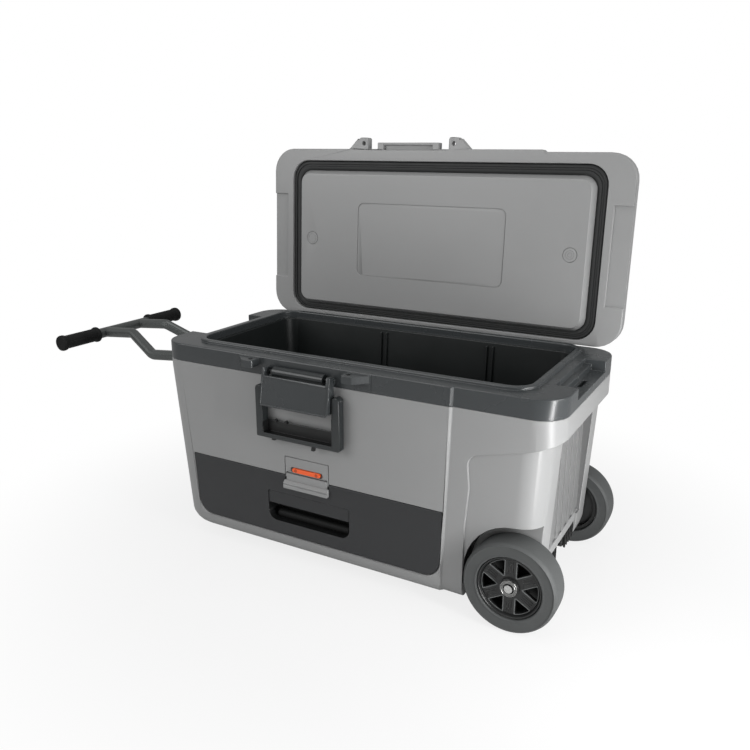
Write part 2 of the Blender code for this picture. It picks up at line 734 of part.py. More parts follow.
def carve_hand_recess(collar, side):
    """Finger room at one end, with a rail step along its inner side and a slot in its floor."""
    for depth, floor in ((HAND_DEPTH, HAND_STEP_FLOOR), (HAND_STEP_DEPTH, HAND_FLOOR)):
        inner = side * (HALF_LENGTH - depth)
        outer = side * (HALF_LENGTH + OVERRUN)
        carve(collar, block((min(inner, outer), -HAND_HALF_WIDTH, floor),
                            (max(inner, outer), HAND_HALF_WIDTH, COLLAR_TOP + OVERRUN)))
    start = side * (HALF_LENGTH - HAND_SLOT_INSET)
    stop = start + side * HAND_SLOT_WIDTH
    carve(collar, block((min(start, stop), -HAND_SLOT_LENGTH / 2, HAND_FLOOR - HAND_SLOT_DEPTH),
                        (max(start, stop), HAND_SLOT_LENGTH / 2, HAND_FLOOR + HAND_SLOT_DEPTH)))


def hinge_span(side):
    return side * HINGE_X - HINGE_LENGTH / 2, side * HINGE_X + HINGE_LENGTH / 2


def carve_hinge_room(made, side):
    """Room round one hinge's knuckles in the rear edge of the collar or of the lid."""
    start, stop = hinge_span(side)
    room = KNUCKLE_RADIUS + EAR_CLEARANCE
    carve(made, block((start - EAR_CLEARANCE, HINGE_Y - room, HINGE_HEIGHT - room),
                      (stop + EAR_CLEARANCE, HALF_DEPTH + OVERRUN, HINGE_HEIGHT + OVERRUN)))


def make_tub():
    low = TUB_FLOOR - TUB_WALL
    outer = -LEDGE_WIDTH - SLIP
    rings = [opening_ring(low, outer - TUB_DRAFT), opening_ring(LEDGE_HEIGHT - TUB_WALL, outer),
             opening_ring(LEDGE_HEIGHT + GAP, outer), opening_ring(LEDGE_HEIGHT + GAP, -SLIP),
             opening_ring(TUB_RIM_TOP, -SLIP), opening_ring(TUB_RIM_TOP, outer - TUB_WALL),
             opening_ring(TUB_FLOOR, outer - TUB_WALL - TUB_DRAFT)]
    return finish(place("inner_tub", skin(rings), None), "tub_black")


def make_foam():
    foam = place("body_foam", cavity_form(SLIP, FOAM_BOTTOM), None)
    for well in wells(SHELL_END_WALL + SLIP):
        carve(foam, well)
    carve(foam, end_recess(SHELL_END_WALL + SLIP))
    spare = -LEDGE_WIDTH
    low = TUB_FLOOR - TUB_WALL - SLIP
    carve(foam, skin([opening_ring(low, spare - TUB_DRAFT), opening_ring(LEDGE_HEIGHT, spare),
                      opening_ring(LEDGE_HEIGHT + OVERRUN, spare)]))
    return finish(foam, "foam_white")


def make_bay():
    """Lined bay for the drawer: it passes through the shell's front wall and is closed at the back."""
    front = -HALF_DEPTH + FRONT_SEAT + GAP
    outside = block((BAY_LEFT_X, front, BAY_BOTTOM), (BAY_RIGHT_X, front + BAY_DEPTH, BAY_TOP))
    bay = place("drawer_bay", outside, None)
    carve(bay, block((BAY_LEFT_X + BAY_WALL, front - OVERRUN, BAY_BOTTOM + BAY_WALL),
                     (BAY_RIGHT_X - BAY_WALL, front + BAY_DEPTH - BAY_WALL, BAY_TOP - BAY_WALL)))
    flange_front = -HALF_DEPTH + SHELL_SIDE_WALL + GAP
    rim = RUNNER_HEIGHT / 2
    flange = block((BAY_LEFT_X - rim, flange_front, BAY_BOTTOM - rim),
                   (BAY_RIGHT_X + rim, flange_front + BAY_WALL, BAY_TOP + GAP))
    cutter = add(bay, flange)
    carve(cutter, block((BAY_LEFT_X + BAY_WALL / 2, flange_front - OVERRUN, BAY_BOTTOM + BAY_WALL / 2),
                        (BAY_RIGHT_X - BAY_WALL / 2, flange_front + OVERRUN, BAY_TOP - BAY_WALL / 2)))
    return finish(bay, "drawer_grey")


def tray_span():
    return BAY_LEFT_X + BAY_WALL + TRAY_SIDE_GAP, BAY_RIGHT_X - BAY_WALL - TRAY_SIDE_GAP


def tray_top():
    return BAY_TOP - BAY_WALL - TRAY_LIFT


def make_runners():
    """Rails on the bay's side walls: the tray's rims hang and slide on them."""
    front = -HALF_DEPTH + FRONT_SEAT + BAY_WALL
    back = -HALF_DEPTH + FRONT_SEAT + BAY_DEPTH - 2 * BAY_WALL
    top = tray_top() - TRAY_RIM - GAP
    left, right = tray_span()
    spans = {"left": (BAY_LEFT_X + BAY_WALL + GAP, left - SLIP),
             "right": (right + SLIP, BAY_RIGHT_X - BAY_WALL - GAP)}
    for side, (start, stop) in spans.items():
        rail = block((start, front, top - RUNNER_HEIGHT), (stop, back, top))
        finish(place("drawer_runner_" + side, rail, None), "steel")


def make_feet():
    for side, label in ((-1, "front"), (1, "rear")):
        middle = side * FOOT_Y
        rings = []
        for height, inset in ((0.0, FOOT_TAPER), (FOOT_TAPER, 0.0), (UNDERSIDE_HEIGHT - GAP, 0.0)):
            points = rounded(FOOT_X - FOOT_LENGTH / 2 + inset, FOOT_X + FOOT_LENGTH / 2 - inset,
                             middle - FOOT_WIDTH / 2 + inset, middle + FOOT_WIDTH / 2 - inset, FOOT_WIDTH / 4)
            rings.append([Vector((x, y, height)) for x, y in points])
        finish(place("foot_" + label, skin(rings), None), "rubber_black")


def make_axle():
    rod_build = rod((WHEEL_X, WHEEL_RADIUS), AXLE_RADIUS, -AXLE_END, AXLE_END, "Y")
    finish(place("axle", rod_build, None), "steel")
    for side, label in ((-1, "front"), (1, "rear")):
        outer = side * (BAY_HALF_WIDTH - GAP)
        inner = outer - side * BRACKET_WIDTH
        bracket = block((WHEEL_X - BRACKET_HALF_LENGTH, min(outer, inner), RECESS_BOTTOM - BRACKET_DROP),
                        (WHEEL_X + BRACKET_HALF_LENGTH, max(outer, inner), RECESS_BOTTOM - GAP))
        made = place("axle_bracket_" + label, bracket, None)
        soften(made, FOOT_TAPER)
        carve(made, rod((WHEEL_X, WHEEL_RADIUS), AXLE_RADIUS + GAP, -HALF_DEPTH, HALF_DEPTH, "Y"))
        finish(made, "rubber_black")


def make_wheel(side, label, axis):
    """One wheel: a rubber tyre on a rim with flat spokes, held by a cap ring on the axle."""
    centre = (WHEEL_X, WHEEL_RADIUS)
    face = side * WHEEL_FACE
    back = face - side * TYRE_WIDTH
    edge = side * TYRE_EDGE
    tread = [(RIM_RADIUS + GAP, back), (WHEEL_RADIUS - TYRE_EDGE, back), (WHEEL_RADIUS, back + edge),
             (WHEEL_RADIUS, face - edge), (WHEEL_RADIUS - TYRE_EDGE, face), (RIM_RADIUS + GAP, face)]
    finish(place("tyre_" + label, turned(tread, centre), axis), "tyre_black")
    lip = face - side * RIM_FACE_SETBACK
    web = face - side * WEB_SETBACK
    web_back = web - side * WEB_THICKNESS
    hub_face = face - side * HUB_SETBACK
    hub_back = side * (WELL_FACE + 2 * GAP)
    bore = AXLE_RADIUS + GAP
    inside = RIM_RADIUS - RIM_WALL
    section = [(bore, hub_back), (HUB_RADIUS, hub_back), (HUB_RADIUS, web_back), (inside, web_back),
               (inside, back + edge), (RIM_RADIUS, back + edge), (RIM_RADIUS, lip), (inside, lip),
               (inside, web), (HUB_RADIUS, web), (HUB_RADIUS, hub_face), (bore, hub_face)]
    rim = place("wheel_rim_" + label, turned(section, centre), axis)
    for index in range(SPOKE_COUNT):
        carve(rim, spoke_gap(index, centre, sorted((web + side * EDGE_BEVEL, web_back - side * EDGE_BEVEL))))
    finish(rim, "rim_black")
    cap_face = hub_face + side * CAP_THICKNESS
    cap = [(bore, hub_face + side * GAP), (CAP_RADIUS, hub_face + side * GAP),
           (CAP_RADIUS - EDGE_BEVEL, cap_face), (bore, cap_face)]
    finish(place("axle_cap_" + label, turned(cap, centre, SMALL_STEPS), None), "steel")


def spoke_gap(index, centre, span):
    """The open wedge between two flat spokes, rounded off by the rim's own circle outside."""
    half = math.pi / SPOKE_COUNT
    middle = 2 * half * index + half
    inner = SPOKE_ROOT_RADIUS
    outer = RIM_RADIUS - RIM_WALL - EDGE_BEVEL
    low = half - math.asin(SPOKE_WIDTH / 2 / inner)
    high = half - math.asin(SPOKE_WIDTH / 2 / outer)
    points = arc(centre, outer, middle - high, middle + high, FOOT_STEPS)
    points += arc(centre, inner, middle + low, middle - low, 2)
    return prism(points, span[0], span[1], "Y")


def gasket_ring(height, grow):
    return ring(height, -GASKET_HALF_LENGTH - grow, GASKET_HALF_LENGTH + grow, GASKET_FRONT - grow,
                GASKET_REAR + grow, GASKET_RADIUS + grow)


def liner_ring(height, grow):
    return ring(height, -LINER_HALF_LENGTH - grow, LINER_HALF_LENGTH + grow, LINER_FRONT - grow,
                LINER_REAR + grow, LINER_RADIUS + grow)


def gasket_top():
    return LIP_TOP + GAP + GASKET_THICKNESS


def liner_flange_top():
    return gasket_top() + GAP + FLANGE_THICKNESS


def make_lid(axis):
    """Lid modelled closed: a hollow shell, a pan-shaped liner, the gasket between them and the foam."""
    rim = LID_BOTTOM + LID_RIM_HEIGHT
    crown = LID_BOTTOM + LID_CROWN_HEIGHT
    top = LID_BOTTOM + LID_HEIGHT
    rings = [outline_ring(LID_BOTTOM, EDGE_BEVEL), outline_ring(LID_BOTTOM + EDGE_BEVEL), outline_ring(rim),
             outline_ring(crown, LID_DRAFT), outline_ring(top, LID_SHOULDER)]
    shell = place("lid_shell", skin(rings), axis)
    straight = liner_flange_top() + EDGE_BEVEL
    roof = top - LID_WALL
    inward = LID_SHOULDER + GAP
    carve(shell, skin([gasket_ring(LID_BOTTOM - OVERRUN, 0.0), gasket_ring(straight, 0.0),
                       gasket_ring(roof, -inward)]))
    face = -HALF_DEPTH
    tab_top = LID_BOTTOM + TAB_THICKNESS
    add(shell, block((LATCH_X - TAB_HALF_LENGTH, face - TAB_REACH, LID_BOTTOM + EDGE_BEVEL),
                     (LATCH_X + TAB_HALF_LENGTH, face + EDGE_BEVEL, tab_top)))
    room = TAB_POCKET_HALF_LENGTH
    carve(shell, block((LATCH_X - room, face - TAB_POCKET_FRONT, LID_BOTTOM - OVERRUN),
                       (LATCH_X + room, face + TAB_POCKET_BACK, LID_BOTTOM + TAB_POCKET_DEPTH)))
    for side in (-1, 1):
        lug_top = LID_BOTTOM + LID_LUG_THICKNESS
        add(shell, prism(lug_outline(side, EDGE_BEVEL), LID_BOTTOM, lug_top, "Z"))
        carve(shell, lug_hole(side, LID_BOTTOM - OVERRUN, lug_top + OVERRUN))
        inner = side * (HALF_LENGTH - LID_HAND_DEPTH)
        outer = side * (HALF_LENGTH + OVERRUN)
        carve(shell, block((min(inner, outer), LID_HAND_Y - LID_HAND_HALF_WIDTH, LID_BOTTOM - OVERRUN),
                           (max(inner, outer), LID_HAND_Y + LID_HAND_HALF_WIDTH, LID_BOTTOM + LID_HAND_RISE)))
    finish(shell, "shell_grey")
    low = LIP_TOP + GAP
    gasket = [gasket_ring(low, -SLIP), gasket_ring(gasket_top(), -SLIP), liner_ring(gasket_top(), SLIP),
              liner_ring(low, SLIP)]
    finish(place("lid_gasket", skin(gasket, hollow=True), axis), "rubber_black")
    make_lid_liner(axis)
    slack = LINER_SLOPE + LINER_WALL + SLIP
    floor = LINER_FACE_HEIGHT + LINER_WALL + SLIP
    pan_top = liner_flange_top() + GAP
    foam = [liner_ring(floor, -slack), liner_ring(LIP_TOP, -LINER_WALL - SLIP),
            liner_ring(pan_top, -LINER_WALL - SLIP), gasket_ring(pan_top, -SLIP),
            gasket_ring(straight, -SLIP), gasket_ring(roof - SLIP, -inward - SLIP)]
    finish(place("lid_foam", skin(foam), axis), "foam_white")


def make_lid_liner(axis):
    face = LINER_FACE_HEIGHT
    under = gasket_top() + GAP
    over = liner_flange_top()
    rings = [liner_ring(face, -LINER_SLOPE), liner_ring(LIP_TOP, 0.0), liner_ring(under, 0.0),
             gasket_ring(under, -SLIP), gasket_ring(over, -SLIP), liner_ring(over, -LINER_WALL),
             liner_ring(LIP_TOP, -LINER_WALL), liner_ring(face + LINER_WALL, -LINER_SLOPE - LINER_WALL)]
    liner = place("lid_liner", skin(rings), axis)
    plaque = rounded(PLAQUE_X - PLAQUE_LENGTH / 2, PLAQUE_X + PLAQUE_LENGTH / 2,
                     PLAQUE_Y - PLAQUE_WIDTH / 2, PLAQUE_Y + PLAQUE_WIDTH / 2, PLAQUE_RADIUS)
    carve(liner, prism(plaque, face - OVERRUN, face + PLAQUE_DEPTH, "Z"))
    for side, label in ((-1, "left"), (1, "right")):
        centre = (side * PLUG_X, PLUG_Y)
        seat = face + PLUG_THICKNESS + GAP
        carve(liner, rod(centre, PLUG_RADIUS + GAP, face - OVERRUN, seat, "Z", ROUND_STEPS))
        plug = rod(centre, PLUG_RADIUS, face, face + PLUG_THICKNESS, "Z", ROUND_STEPS)
        finish(place("lid_plug_" + label, plug, axis), "shell_grey")
    finish(liner, "shell_grey")


def make_hinges(axis):
    """Two knuckle hinges on the rear face: the outer knuckles on the collar, the middle one on the lid."""
    room = KNUCKLE_RADIUS + EAR_CLEARANCE
    back = (HALF_DEPTH + GAP, HALF_DEPTH + GAP + LEAF_THICKNESS)
    centre = (HINGE_Y, HINGE_HEIGHT)
    for side, label in ((-1, "left"), (1, "right")):
        start, stop = hinge_span(side)
        first = start + HINGE_LENGTH * KNUCKLE_SHARES[0]
        second = stop - HINGE_LENGTH * KNUCKLE_SHARES[2]
        foot = HINGE_HEIGHT - room - LEAF_DROP
        lower = [(start, foot), (stop, foot), (stop, HINGE_HEIGHT), (second + GAP, HINGE_HEIGHT),
                 (second + GAP, HINGE_HEIGHT - room), (first - GAP, HINGE_HEIGHT - room),
                 (first - GAP, HINGE_HEIGHT), (start, HINGE_HEIGHT)]
        leaf = place("hinge_leaf_lower_" + label, prism(lower, *back, "Y"), None)
        add(leaf, rod(centre, KNUCKLE_RADIUS, start, first - GAP, "X"))
        add(leaf, rod(centre, KNUCKLE_RADIUS, second + GAP, stop, "X"))
        carve(leaf, rod(centre, HINGE_PIN_RADIUS + GAP, start - OVERRUN, stop + OVERRUN, "X"))
        finish(leaf, "steel")
        head = HINGE_HEIGHT + LEAF_RISE + KNUCKLE_RADIUS
        upper = [(start, head), (start, HINGE_HEIGHT + room), (first + GAP, HINGE_HEIGHT + room),
                 (first + GAP, HINGE_HEIGHT), (second - GAP, HINGE_HEIGHT),
                 (second - GAP, HINGE_HEIGHT + room), (stop, HINGE_HEIGHT + room), (stop, head)]
        leaf = place("hinge_leaf_upper_" + label, prism(upper, *back, "Y"), axis)
        add(leaf, rod(centre, KNUCKLE_RADIUS, first + GAP, second - GAP, "X"))
        carve(leaf, rod(centre, HINGE_PIN_RADIUS + GAP, start - OVERRUN, stop + OVERRUN, "X"))
        finish(leaf, "steel")
        pin = rod(centre, HINGE_PIN_RADIUS, start + EAR_CLEARANCE, stop - EAR_CLEARANCE, "X")
        finish(place("hinge_pin_" + label, pin, None), "steel")


def barrel_centre():
    return -HALF_DEPTH - BARREL_REACH, BARREL_HEIGHT


def make_barrel():
    """Fixed barrel on the collar's front face, with the pin that carries the latch lever."""
    reach = BARREL_HALF_LENGTH
    barrel = rod(barrel_centre(), BARREL_RADIUS, LATCH_X - reach, LATCH_X + reach, "X", ROUND_STEPS)
    made = place("latch_barrel", barrel, None)
    carve(made, block((LATCH_X - LEVER_HALF_LENGTH, -HALF_DEPTH - GAP, BARREL_HEIGHT - OVERRUN),
                      (LATCH_X + LEVER_HALF_LENGTH, -HALF_DEPTH + OVERRUN, BARREL_HEIGHT + OVERRUN)))
    carve(made, rod(barrel_centre(), LATCH_PIN_RADIUS + GAP, LATCH_X - LEVER_HALF_LENGTH,
                    LATCH_X + LEVER_HALF_LENGTH, "X"))
    finish(made, "collar_grey")
    pin = rod(barrel_centre(), LATCH_PIN_RADIUS, LATCH_X - LEVER_HALF_LENGTH + EAR_CLEARANCE,
              LATCH_X + LEVER_HALF_LENGTH - EAR_CLEARANCE, "X")
    finish(place("latch_pin", pin, None), "steel")


def lever_back(height):
    lean = (LEVER_FOOT_REACH - LEVER_TOP_REACH) / (LEVER_TOP - LEVER_FOOT)
    return -HALF_DEPTH - LEVER_TOP_REACH - (LEVER_TOP - height) * lean + LEVER_THICKNESS


def make_lever(axis):
    """Latch lever: a leaning plate with a flange at each end, whose ears turn on the barrel's pin."""
    face = -HALF_DEPTH
    y, z = barrel_centre()
    profile = [(face - LEVER_FOOT_REACH, LEVER_FOOT), (face - LEVER_TOP_REACH, LEVER_TOP)]
    profile += arc((y, z), LEVER_EAR_RADIUS, 0.5 * math.pi, -0.5 * math.pi, 2 * CORNER_STEPS)
    profile += [(face - LEVER_CHEEK_REACH, LEVER_CHEEK_TOP), (face - LEVER_CHEEK_REACH, LEVER_CHEEK_FOOT),
                (face - LEVER_HEEL_REACH, LEVER_FOOT)]
    solid = prism(profile, LATCH_X - LEVER_HALF_LENGTH, LATCH_X + LEVER_HALF_LENGTH, "X")
    lever = place("latch_lever", solid, axis)
    soften(lever)
    high = LEVER_TOP + OVERRUN
    low = LEVER_FOOT - OVERRUN
    inside = [(lever_back(high), high), (face + OVERRUN, high), (face + OVERRUN, low), (lever_back(low), low)]
    half = LEVER_HALF_LENGTH - LEVER_FLANGE
    carve(lever, prism(inside, LATCH_X - half, LATCH_X + half, "X"))
    carve(lever, block((LATCH_X - half, face - OVERRUN - LEVER_FOOT_REACH, LEVER_TOP - LEVER_WINDOW_DROP),
                       (LATCH_X + half, face + OVERRUN, high)))
    for centre, radius in ((barrel_centre(), LATCH_PIN_RADIUS), (bail_centre(), BAIL_PIN_RADIUS)):
        carve(lever, rod(centre, radius + GAP, LATCH_X - BAIL_HALF_LENGTH, LATCH_X + BAIL_HALF_LENGTH, "X"))
    return finish(lever, "collar_grey")


def bail_centre():
    return -HALF_DEPTH - BAIL_PIN_REACH, BAIL_PIN_HEIGHT


def make_bail(axis):
    """Bail of the latch: two arms, a web under the lever and an open pocket above the bottom bar."""
    left = LATCH_X - BAIL_HALF_LENGTH
    right = LATCH_X + BAIL_HALF_LENGTH
    half = BAIL_ARM_WIDTH / 2
    outline = [(left, BAIL_BOTTOM), (right, BAIL_BOTTOM)]
    outline += arc((right - half, BAIL_TOP - half), half, 0.0, math.pi, 2 * FOOT_STEPS)
    outline += [(right - BAIL_ARM_WIDTH, BAIL_WEB_TOP), (left + BAIL_ARM_WIDTH, BAIL_WEB_TOP)]
    outline += arc((left + half, BAIL_TOP - half), half, 0.0, math.pi, 2 * FOOT_STEPS)
    bail = place("latch_bail", prism(outline, -HALF_DEPTH - BAIL_FRONT, -HALF_DEPTH - BAIL_BACK, "Y"), axis)
    soften(bail)
    carve(bail, block((left + BAIL_ARM_WIDTH, -HALF_DEPTH - BAIL_FRONT - OVERRUN, BAIL_BOTTOM + BAIL_BAR),
                      (right - BAIL_ARM_WIDTH, -HALF_DEPTH - BAIL_BACK - BAIL_PLATE, BAIL_WEB_BOTTOM)))
    carve(bail, rod(bail_centre(), BAIL_PIN_RADIUS + GAP, left - OVERRUN, right + OVERRUN, "X"))
    finish(bail, "collar_grey")
    for side, label in ((-1, "left"), (1, "right")):
        inner = LATCH_X + side * (LEVER_HALF_LENGTH - LEVER_FLANGE)
        outer = LATCH_X + side * (BAIL_HALF_LENGTH - EAR_CLEARANCE)
        pin = rod(bail_centre(), BAIL_PIN_RADIUS, min(inner, outer), max(inner, outer), "X")
        finish(place("bail_pin_" + label, pin, axis), "steel")


def pocket_outline(slack=0.0, foot=None):
    left = POCKET_X - POCKET_HALF_LENGTH + slack
    right = POCKET_X + POCKET_HALF_LENGTH - slack
    low = POCKET_BOTTOM if foot is None else foot
    high = POCKET_TOP - slack
    small = POCKET_WALL
    lower = POCKET_RADIUS if foot is None else EDGE_BEVEL
    points = arc((right - small, high - small), small, 0.0, 0.5 * math.pi, FOOT_STEPS)
    points += arc((left + small, high - small), small, 0.5 * math.pi, math.pi, FOOT_STEPS)
    points += arc((left + lower, low + lower), lower, math.pi, 1.5 * math.pi, FOOT_STEPS)
    points += arc((right - lower, low + lower), lower, 1.5 * math.pi, 2 * math.pi, FOOT_STEPS)
    return points


def make_drawer(axis):
    face = -HALF_DEPTH
    front = place("drawer_front", prism(front_outline(), face, face + FRONT_THICKNESS, "Y"), axis)
    soften(front, FRONT_EDGE)
    reach = POCKET_HALF_LENGTH + POCKET_WALL
    add(front, block((POCKET_X - reach, face + FRONT_THICKNESS / 2, POCKET_BOTTOM - POCKET_WALL),
                     (POCKET_X + reach, face + POCKET_DEPTH, POCKET_TOP + POCKET_WALL)))
    carve(front, prism(pocket_outline(), face - OVERRUN, face + POCKET_DEPTH - POCKET_WALL, "Y"))
    carve(front, block((PLATE_X - PLATE_HALF_LENGTH - GAP, face - OVERRUN, PLATE_FOOT - GAP),
                       (PLATE_X + PLATE_HALF_LENGTH + GAP, face + OVERRUN, FRONT_TOP + OVERRUN)))
    finish(front, "drawer_grey")
    visor_face = face + VISOR_SETBACK
    visor = prism(pocket_outline(SLIP, VISOR_FOOT), visor_face, visor_face + VISOR_THICKNESS, "Y")
    finish(place("drawer_pull_visor", visor, axis), "drawer_grey")
    make_tray(axis)
    make_plate(axis)


def make_tray(axis):
    left, right = tray_span()
    low = BAY_BOTTOM + BAY_WALL + TRAY_LIFT
    start = -HALF_DEPTH + POCKET_DEPTH + GAP
    stop = start + TRAY_DEPTH
    tray = place("drawer_tray", block((left, start, low), (right, stop, tray_top())), axis)
    reach = TRAY_SIDE_GAP - 2 * SLIP
    add(tray, block((left - reach, start, tray_top() - TRAY_RIM), (right + reach, stop, tray_top())))
    carve(tray, block((left + TRAY_WALL, start + TRAY_WALL, low + TRAY_WALL),
                      (right - TRAY_WALL, stop - TRAY_WALL, tray_top() + OVERRUN)))
    finish(tray, "drawer_grey")


def make_plate(axis):
    """Latch plate on the drawer front: a slot for the key above and a seat for the lift tab below."""
    face = -HALF_DEPTH
    solid = block((PLATE_X - PLATE_HALF_LENGTH, face, PLATE_FOOT),
                  (PLATE_X + PLATE_HALF_LENGTH, face + PLATE_THICKNESS, PLATE_TOP))
    plate = place("drawer_latch_plate", solid, axis)
    soften(plate, FRONT_EDGE)
    seat = face + SHELF_SETBACK
    narrow = PLATE_HALF_LENGTH - CHEEK_WIDTH
    carve(plate, block((PLATE_X - narrow, face - OVERRUN, PLATE_FOOT - OVERRUN),
                       (PLATE_X + narrow, seat, SHELF_HEIGHT)))
    carve(plate, block((PLATE_X - PLATE_HALF_LENGTH - OVERRUN, face - OVERRUN, PLATE_FOOT - OVERRUN),
                       (PLATE_X + PLATE_HALF_LENGTH + OVERRUN, seat, CHEEK_FOOT)))
    reach = KEY_HALF_LENGTH + KEY_TRAVEL + GAP
    slot = rounded(PLATE_X - reach, PLATE_X + reach, KEY_BOTTOM - GAP, KEY_TOP + GAP,
                   KEY_HEIGHT * KEY_ROUND_SHARE)
    carve(plate, prism(slot, face - OVERRUN, face + KEY_DEPTH + GAP, "Y"))
    hinge = (face + TAB_LEVER_PIVOT_SETBACK, TAB_LEVER_PIVOT)
    bore = PLATE_HALF_LENGTH - TAB_LEVER_TRUNNION / 2
    carve(plate, rod(hinge, TAB_LEVER_TRUNNION + GAP, PLATE_X - bore, PLATE_X + bore, "X"))
    finish(plate, "shell_grey")


def make_key(axis):
    face = -HALF_DEPTH
    outline = rounded(PLATE_X - KEY_HALF_LENGTH, PLATE_X + KEY_HALF_LENGTH, KEY_BOTTOM, KEY_TOP,
                      KEY_HEIGHT * KEY_ROUND_SHARE)
    key = place("drawer_lock_key", prism(outline, face - KEY_PROUD, face + KEY_DEPTH, "Y"), axis)
    finish(key, "key_orange")


def make_lift_tab(axis):
    """Lift tab of the drawer latch: its foot is a finger lip, and its trunnions turn in the plate."""
    face = -HALF_DEPTH
    half = PLATE_HALF_LENGTH - CHEEK_WIDTH - GAP
    head = TAB_LEVER_PIVOT + TAB_LEVER_HEAD
    tab = place("drawer_lift_tab", block((PLATE_X - half, face - TAB_LEVER_PROUD, PLATE_FOOT),
                                         (PLATE_X + half, face + TAB_LEVER_THICKNESS, head)), axis)
    lip = [(face - TAB_LIP_PROUD, TAB_LIP_FOOT), (face - TAB_LIP_PROUD, TAB_LIP_TOP - TAB_LEVER_THICKNESS),
           (face - TAB_LEVER_THICKNESS / 2, TAB_LIP_TOP), (face - SLIP, TAB_LIP_TOP),
           (face - SLIP, TAB_LIP_FOOT)]
    add(tab, prism(lip, PLATE_X - TAB_LEVER_HALF_LENGTH, PLATE_X + TAB_LEVER_HALF_LENGTH, "X"))
    hinge = (face + TAB_LEVER_PIVOT_SETBACK, TAB_LEVER_PIVOT)
    reach = PLATE_HALF_LENGTH - 2 * GAP - TAB_LEVER_TRUNNION / 2
    add(tab, rod(hinge, TAB_LEVER_TRUNNION, PLATE_X - reach, PLATE_X + reach, "X"))
    finish(tab, "shell_grey")


def handle_axes():
    """Outward and upward directions of the handle's plane, in (x, z)."""
    out = Vector((-math.cos(HANDLE_DROOP), 0.0, -math.sin(HANDLE_DROOP)))
    up = Vector((-math.sin(HANDLE_DROOP), 0.0, math.cos(HANDLE_DROOP)))
    return out, up


def handle_points(side):
    out, up = handle_axes()
    start = Vector((HANDLE_PIVOT_X, side * HANDLE_SPREAD, HANDLE_PIVOT_HEIGHT))
    knee = start + out * HANDLE_STRAIGHT
    narrow = Vector((0.0, side * (HANDLE_NECK - HANDLE_SPREAD), 0.0))
    neck = knee + out * HANDLE_SLANT + up * HANDLE_RISE + narrow
    return [start, knee, neck, neck + out * HANDLE_REACH]


def filleted(points, radius, steps):
    """The same route with each inner corner replaced by a round bend."""
    route = [points[0]]
    for before, corner, after in zip(points, points[1:], points[2:]):
        back = (before - corner).normalized()
        ahead = (after - corner).normalized()
        half = back.angle(ahead) / 2
        reach = radius / math.tan(half)
        middle = corner + (back + ahead).normalized() * (radius / math.sin(half))
        start = corner + back * reach - middle
        stop = corner + ahead * reach - middle
        normal = start.cross(stop).normalized()
        sweep = start.angle(stop)
        route += [middle + Matrix.Rotation(sweep * step / steps, 3, normal) @ start
                  for step in range(steps + 1)]
    route.append(points[-1])
    return route


def tube(route, radius, round_start):
    """A round bar along a route, with a domed first end when asked for."""
    directions = []
    for index in range(len(route)):
        low = route[max(index - 1, 0)]
        high = route[min(index + 1, len(route) - 1)]
        directions.append((high - low).normalized())
    side = directions[0].cross(Vector((0.0, 1.0, 0.0))).normalized()
    stations = [(point, direction, radius) for point, direction in zip(route, directions)]
    if round_start:
        domes = []
        for step in range(FOOT_STEPS, 0, -1):
            turn = DOME_TURN * step / FOOT_STEPS
            crown = route[0] - directions[0] * radius * math.sin(turn)
            domes.append((crown, directions[0], radius * math.cos(turn)))
        stations = domes + stations
    rings = []
    for point, direction, size in stations:
        side = (side - direction * side.dot(direction)).normalized()
        other = direction.cross(side)
        turns = (2 * math.pi * step / TUBE_STEPS for step in range(TUBE_STEPS))
        rings.append([point + side * size * math.cos(turn) + other * size * math.sin(turn) for turn in turns])
    return skin(rings)


def make_handle(axis):
    """Fold-down pull handle: two cranked arms, a crossbar and a rubber grip over each end of it."""
    bar = handle_points(1)[-1]
    centre = (bar.x, bar.z)
    for side, label in ((-1, "front"), (1, "rear")):
        route = filleted(handle_points(side), HANDLE_BEND_RADIUS, HANDLE_BEND_STEPS)
        arm = place("handle_arm_" + label, tube(route, HANDLE_TUBE_RADIUS, True), axis)
        carve(arm, rod(centre, HANDLE_TUBE_RADIUS + GAP, -BAR_HALF_LENGTH, BAR_HALF_LENGTH, "Y", ROUND_STEPS))
        joint = (HANDLE_PIVOT_X, HANDLE_PIVOT_HEIGHT)
        carve(arm, rod(joint, HANDLE_PIN_RADIUS + GAP, -HALF_DEPTH, HALF_DEPTH, "Y"))
        finish(arm, "tube_grey")
        grip = grip_build(side, centre)
        finish(place("handle_grip_" + label, grip, axis), "rubber_black")
        make_handle_mount(side, label)
    crossbar = rod(centre, HANDLE_TUBE_RADIUS, -BAR_HALF_LENGTH, BAR_HALF_LENGTH, "Y", ROUND_STEPS)
    finish(place("handle_crossbar", crossbar, axis), "tube_grey")


def grip_build(side, centre):
    """A sleeve closed at its outer end, with a finger flange at its inner end and a flared end cap."""
    bore = HANDLE_TUBE_RADIUS + GAP
    flare = GRIP_FLANGE_WIDTH
    wide = GRIP_FLANGE_RADIUS
    stations = [(bore, BAR_HALF_LENGTH + GAP), (bore, GRIP_START), (wide - EDGE_BEVEL, GRIP_START),
                (wide, GRIP_START + EDGE_BEVEL), (wide, GRIP_START + flare / 2),
                (GRIP_RADIUS, GRIP_START + flare), (GRIP_RADIUS, GRIP_END - 2 * flare),
                (wide, GRIP_END - flare / 2), (wide - EDGE_BEVEL, GRIP_END)]
    rings = []
    for radius, y in stations:
        turns = (2 * math.pi * step / SMALL_STEPS for step in range(SMALL_STEPS))
        circle = ((radius * math.cos(turn), radius * math.sin(turn)) for turn in turns)
        rings.append([Vector((centre[0] + across, side * y, centre[1] + up)) for across, up in circle])
    return skin(rings)


def wall_x(height):
    return -HALF_LENGTH + end_inset(height) - GAP


